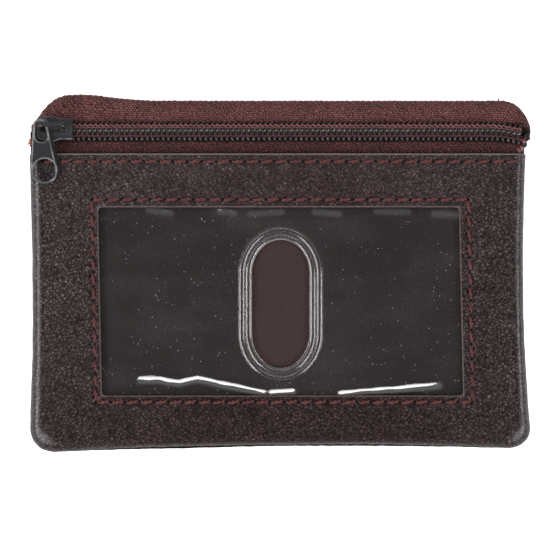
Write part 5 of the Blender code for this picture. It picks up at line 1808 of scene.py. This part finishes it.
class POUCH_OT_loose_ends(bpy.types.Operator):
    """Make the zip's melted right end and the tips of loose thread"""

    bl_idname = "pouch.loose_ends"
    bl_label = "Loose ends"

    def execute(self, context):
        colours = context.scene.pouch_colours
        nylon = bpy.data.materials["coil_nylon"]
        add_piece(lumps(MELTED_LUMPS_MM), "melted_coil_end", [nylon], "pouch")
        add_piece(lumps(FUSED_LUMPS_MM), "fused_tape_end", [fused_finish(colours)], "pouch")
        red = thread_finish("loose_thread", colours.loose_thread, 0.45)
        add_piece(loose_fibres(LOOSE_FIBRES_MM), "loose_thread_tips", [red], "pouch")
        add_piece(loose_fibres(BLACK_FIBRE_MM), "loose_black_tip", [nylon], "pouch")
        return {"FINISHED"}


def softbox(name, place, width, height, power):
    """A soft rectangular lamp that looks at the middle of the pouch."""
    lamp = bpy.data.lights.new(name, "AREA")
    lamp.shape = "RECTANGLE"
    lamp.size = width
    lamp.size_y = height
    lamp.energy = power
    holder = new_object(name, lamp)
    holder.location = place
    to_middle = Vector((0, 0, FOCUS_HEIGHT)) - Vector(place)
    holder.rotation_euler = to_middle.to_track_quat("-Z", "Y").to_euler()


class POUCH_OT_stage(bpy.types.Operator):
    """Set up the pale floor, the soft studio light and the camera"""

    bl_idname = "pouch.stage"
    bl_label = "Stage"

    def execute(self, context):
        colours = context.scene.pouch_colours
        bm = bmesh.new()
        bmesh.ops.create_grid(bm, x_segments=1, y_segments=1, size=FLOOR_HALF)
        mesh = new_mesh("floor", bm)
        floor = new_object("floor", mesh)
        floor.location = (0, 0, -FLOOR_DROP)
        finish = Finish("pale_floor")
        seen = finish.node("ShaderNodeLightPath", output="Is Camera Ray")
        glow = finish.node("ShaderNodeEmission", sockets={0: (1.0, 1.0, 1.0, 1.0), 1: FLOOR_GLOW})
        matt = finish.node("ShaderNodeBsdfDiffuse", sockets={0: as_colour(colours.floor)})
        both = finish.node("ShaderNodeAddShader", sockets={0: glow, 1: matt})
        mesh.materials.append(finish.shown(
            finish.node("ShaderNodeMixShader", sockets={0: seen, 1: matt, 2: both})))
        context.scene.view_settings.view_transform = "Standard"
        world = bpy.data.worlds.new("studio")
        context.scene.world = world
        world.use_nodes = True
        nodes, links = world.node_tree.nodes, world.node_tree.links
        way = nodes.new("ShaderNodeTexCoord")
        height = nodes.new("ShaderNodeSeparateXYZ")
        band = nodes.new("ShaderNodeValToRGB")
        for stop, level in STUDIO_BAND:
            each = band.color_ramp.elements.new(stop)
            each.color = (level, level, level, 1.0)
        for edge in (0, -1):
            band.color_ramp.elements[edge].color = (STUDIO_DARK, STUDIO_DARK, STUDIO_DARK, 1.0)
        links.new(way.outputs["Generated"], height.inputs[0])
        links.new(height.outputs["Z"], band.inputs["Fac"])
        links.new(band.outputs["Color"], nodes["Background"].inputs["Color"])
        for lamp in SOFTBOXES:
            softbox(*lamp)
        camera = bpy.data.cameras.new("camera")
        camera.lens = CAMERA_LENS
        camera.sensor_width = CAMERA_SENSOR
        camera.clip_start = CLIP_START
        distance = FRAME_WIDTH * CAMERA_LENS / CAMERA_SENSOR
        holder = new_object("camera", camera)
        holder.location = (CAMERA_X, 0, FOCUS_HEIGHT + distance)
        context.scene.camera = holder
        return {"FINISHED"}


class POUCH_PT_panel(bpy.types.Panel):
    """Lists the pouch's pieces in the order in which they are made"""

    bl_label = "Coin Pouch"
    bl_idname = "POUCH_PT_panel"
    bl_space_type = "VIEW_3D"
    bl_region_type = "UI"
    bl_category = "Pouch"

    def draw(self, context):
        for group in (context.scene.pouch_sizes, context.scene.pouch_colours):
            box = self.layout.box()
            for name in group.__annotations__:
                box.prop(group, name)
        for operator in MAKERS:
            self.layout.operator(operator.bl_idname)


MAKERS = (
    POUCH_OT_leather,
    POUCH_OT_linings,
    POUCH_OT_film,
    POUCH_OT_tapes,
    POUCH_OT_coils,
    POUCH_OT_chain_threads,
    POUCH_OT_slider,
    POUCH_OT_puller,
    POUCH_OT_stitches,
    POUCH_OT_seam,
    POUCH_OT_loose_ends,
    POUCH_OT_stage,
)
CLASSES = (PouchSizes, PouchColours, *MAKERS, POUCH_PT_panel)


def register():
    for each in CLASSES:
        bpy.utils.register_class(each)
    bpy.types.Scene.pouch_sizes = bpy.props.PointerProperty(type=PouchSizes)
    bpy.types.Scene.pouch_colours = bpy.props.PointerProperty(type=PouchColours)


def unregister():
    del bpy.types.Scene.pouch_colours
    del bpy.types.Scene.pouch_sizes
    for each in reversed(CLASSES):
        bpy.utils.unregister_class(each)


def main():
    """Make every piece in order."""
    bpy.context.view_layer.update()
    register()
    for operator in MAKERS:
        group, name = operator.bl_idname.split(".")
        getattr(getattr(bpy.ops, group), name)()


if __name__ == "__main__":
    main()
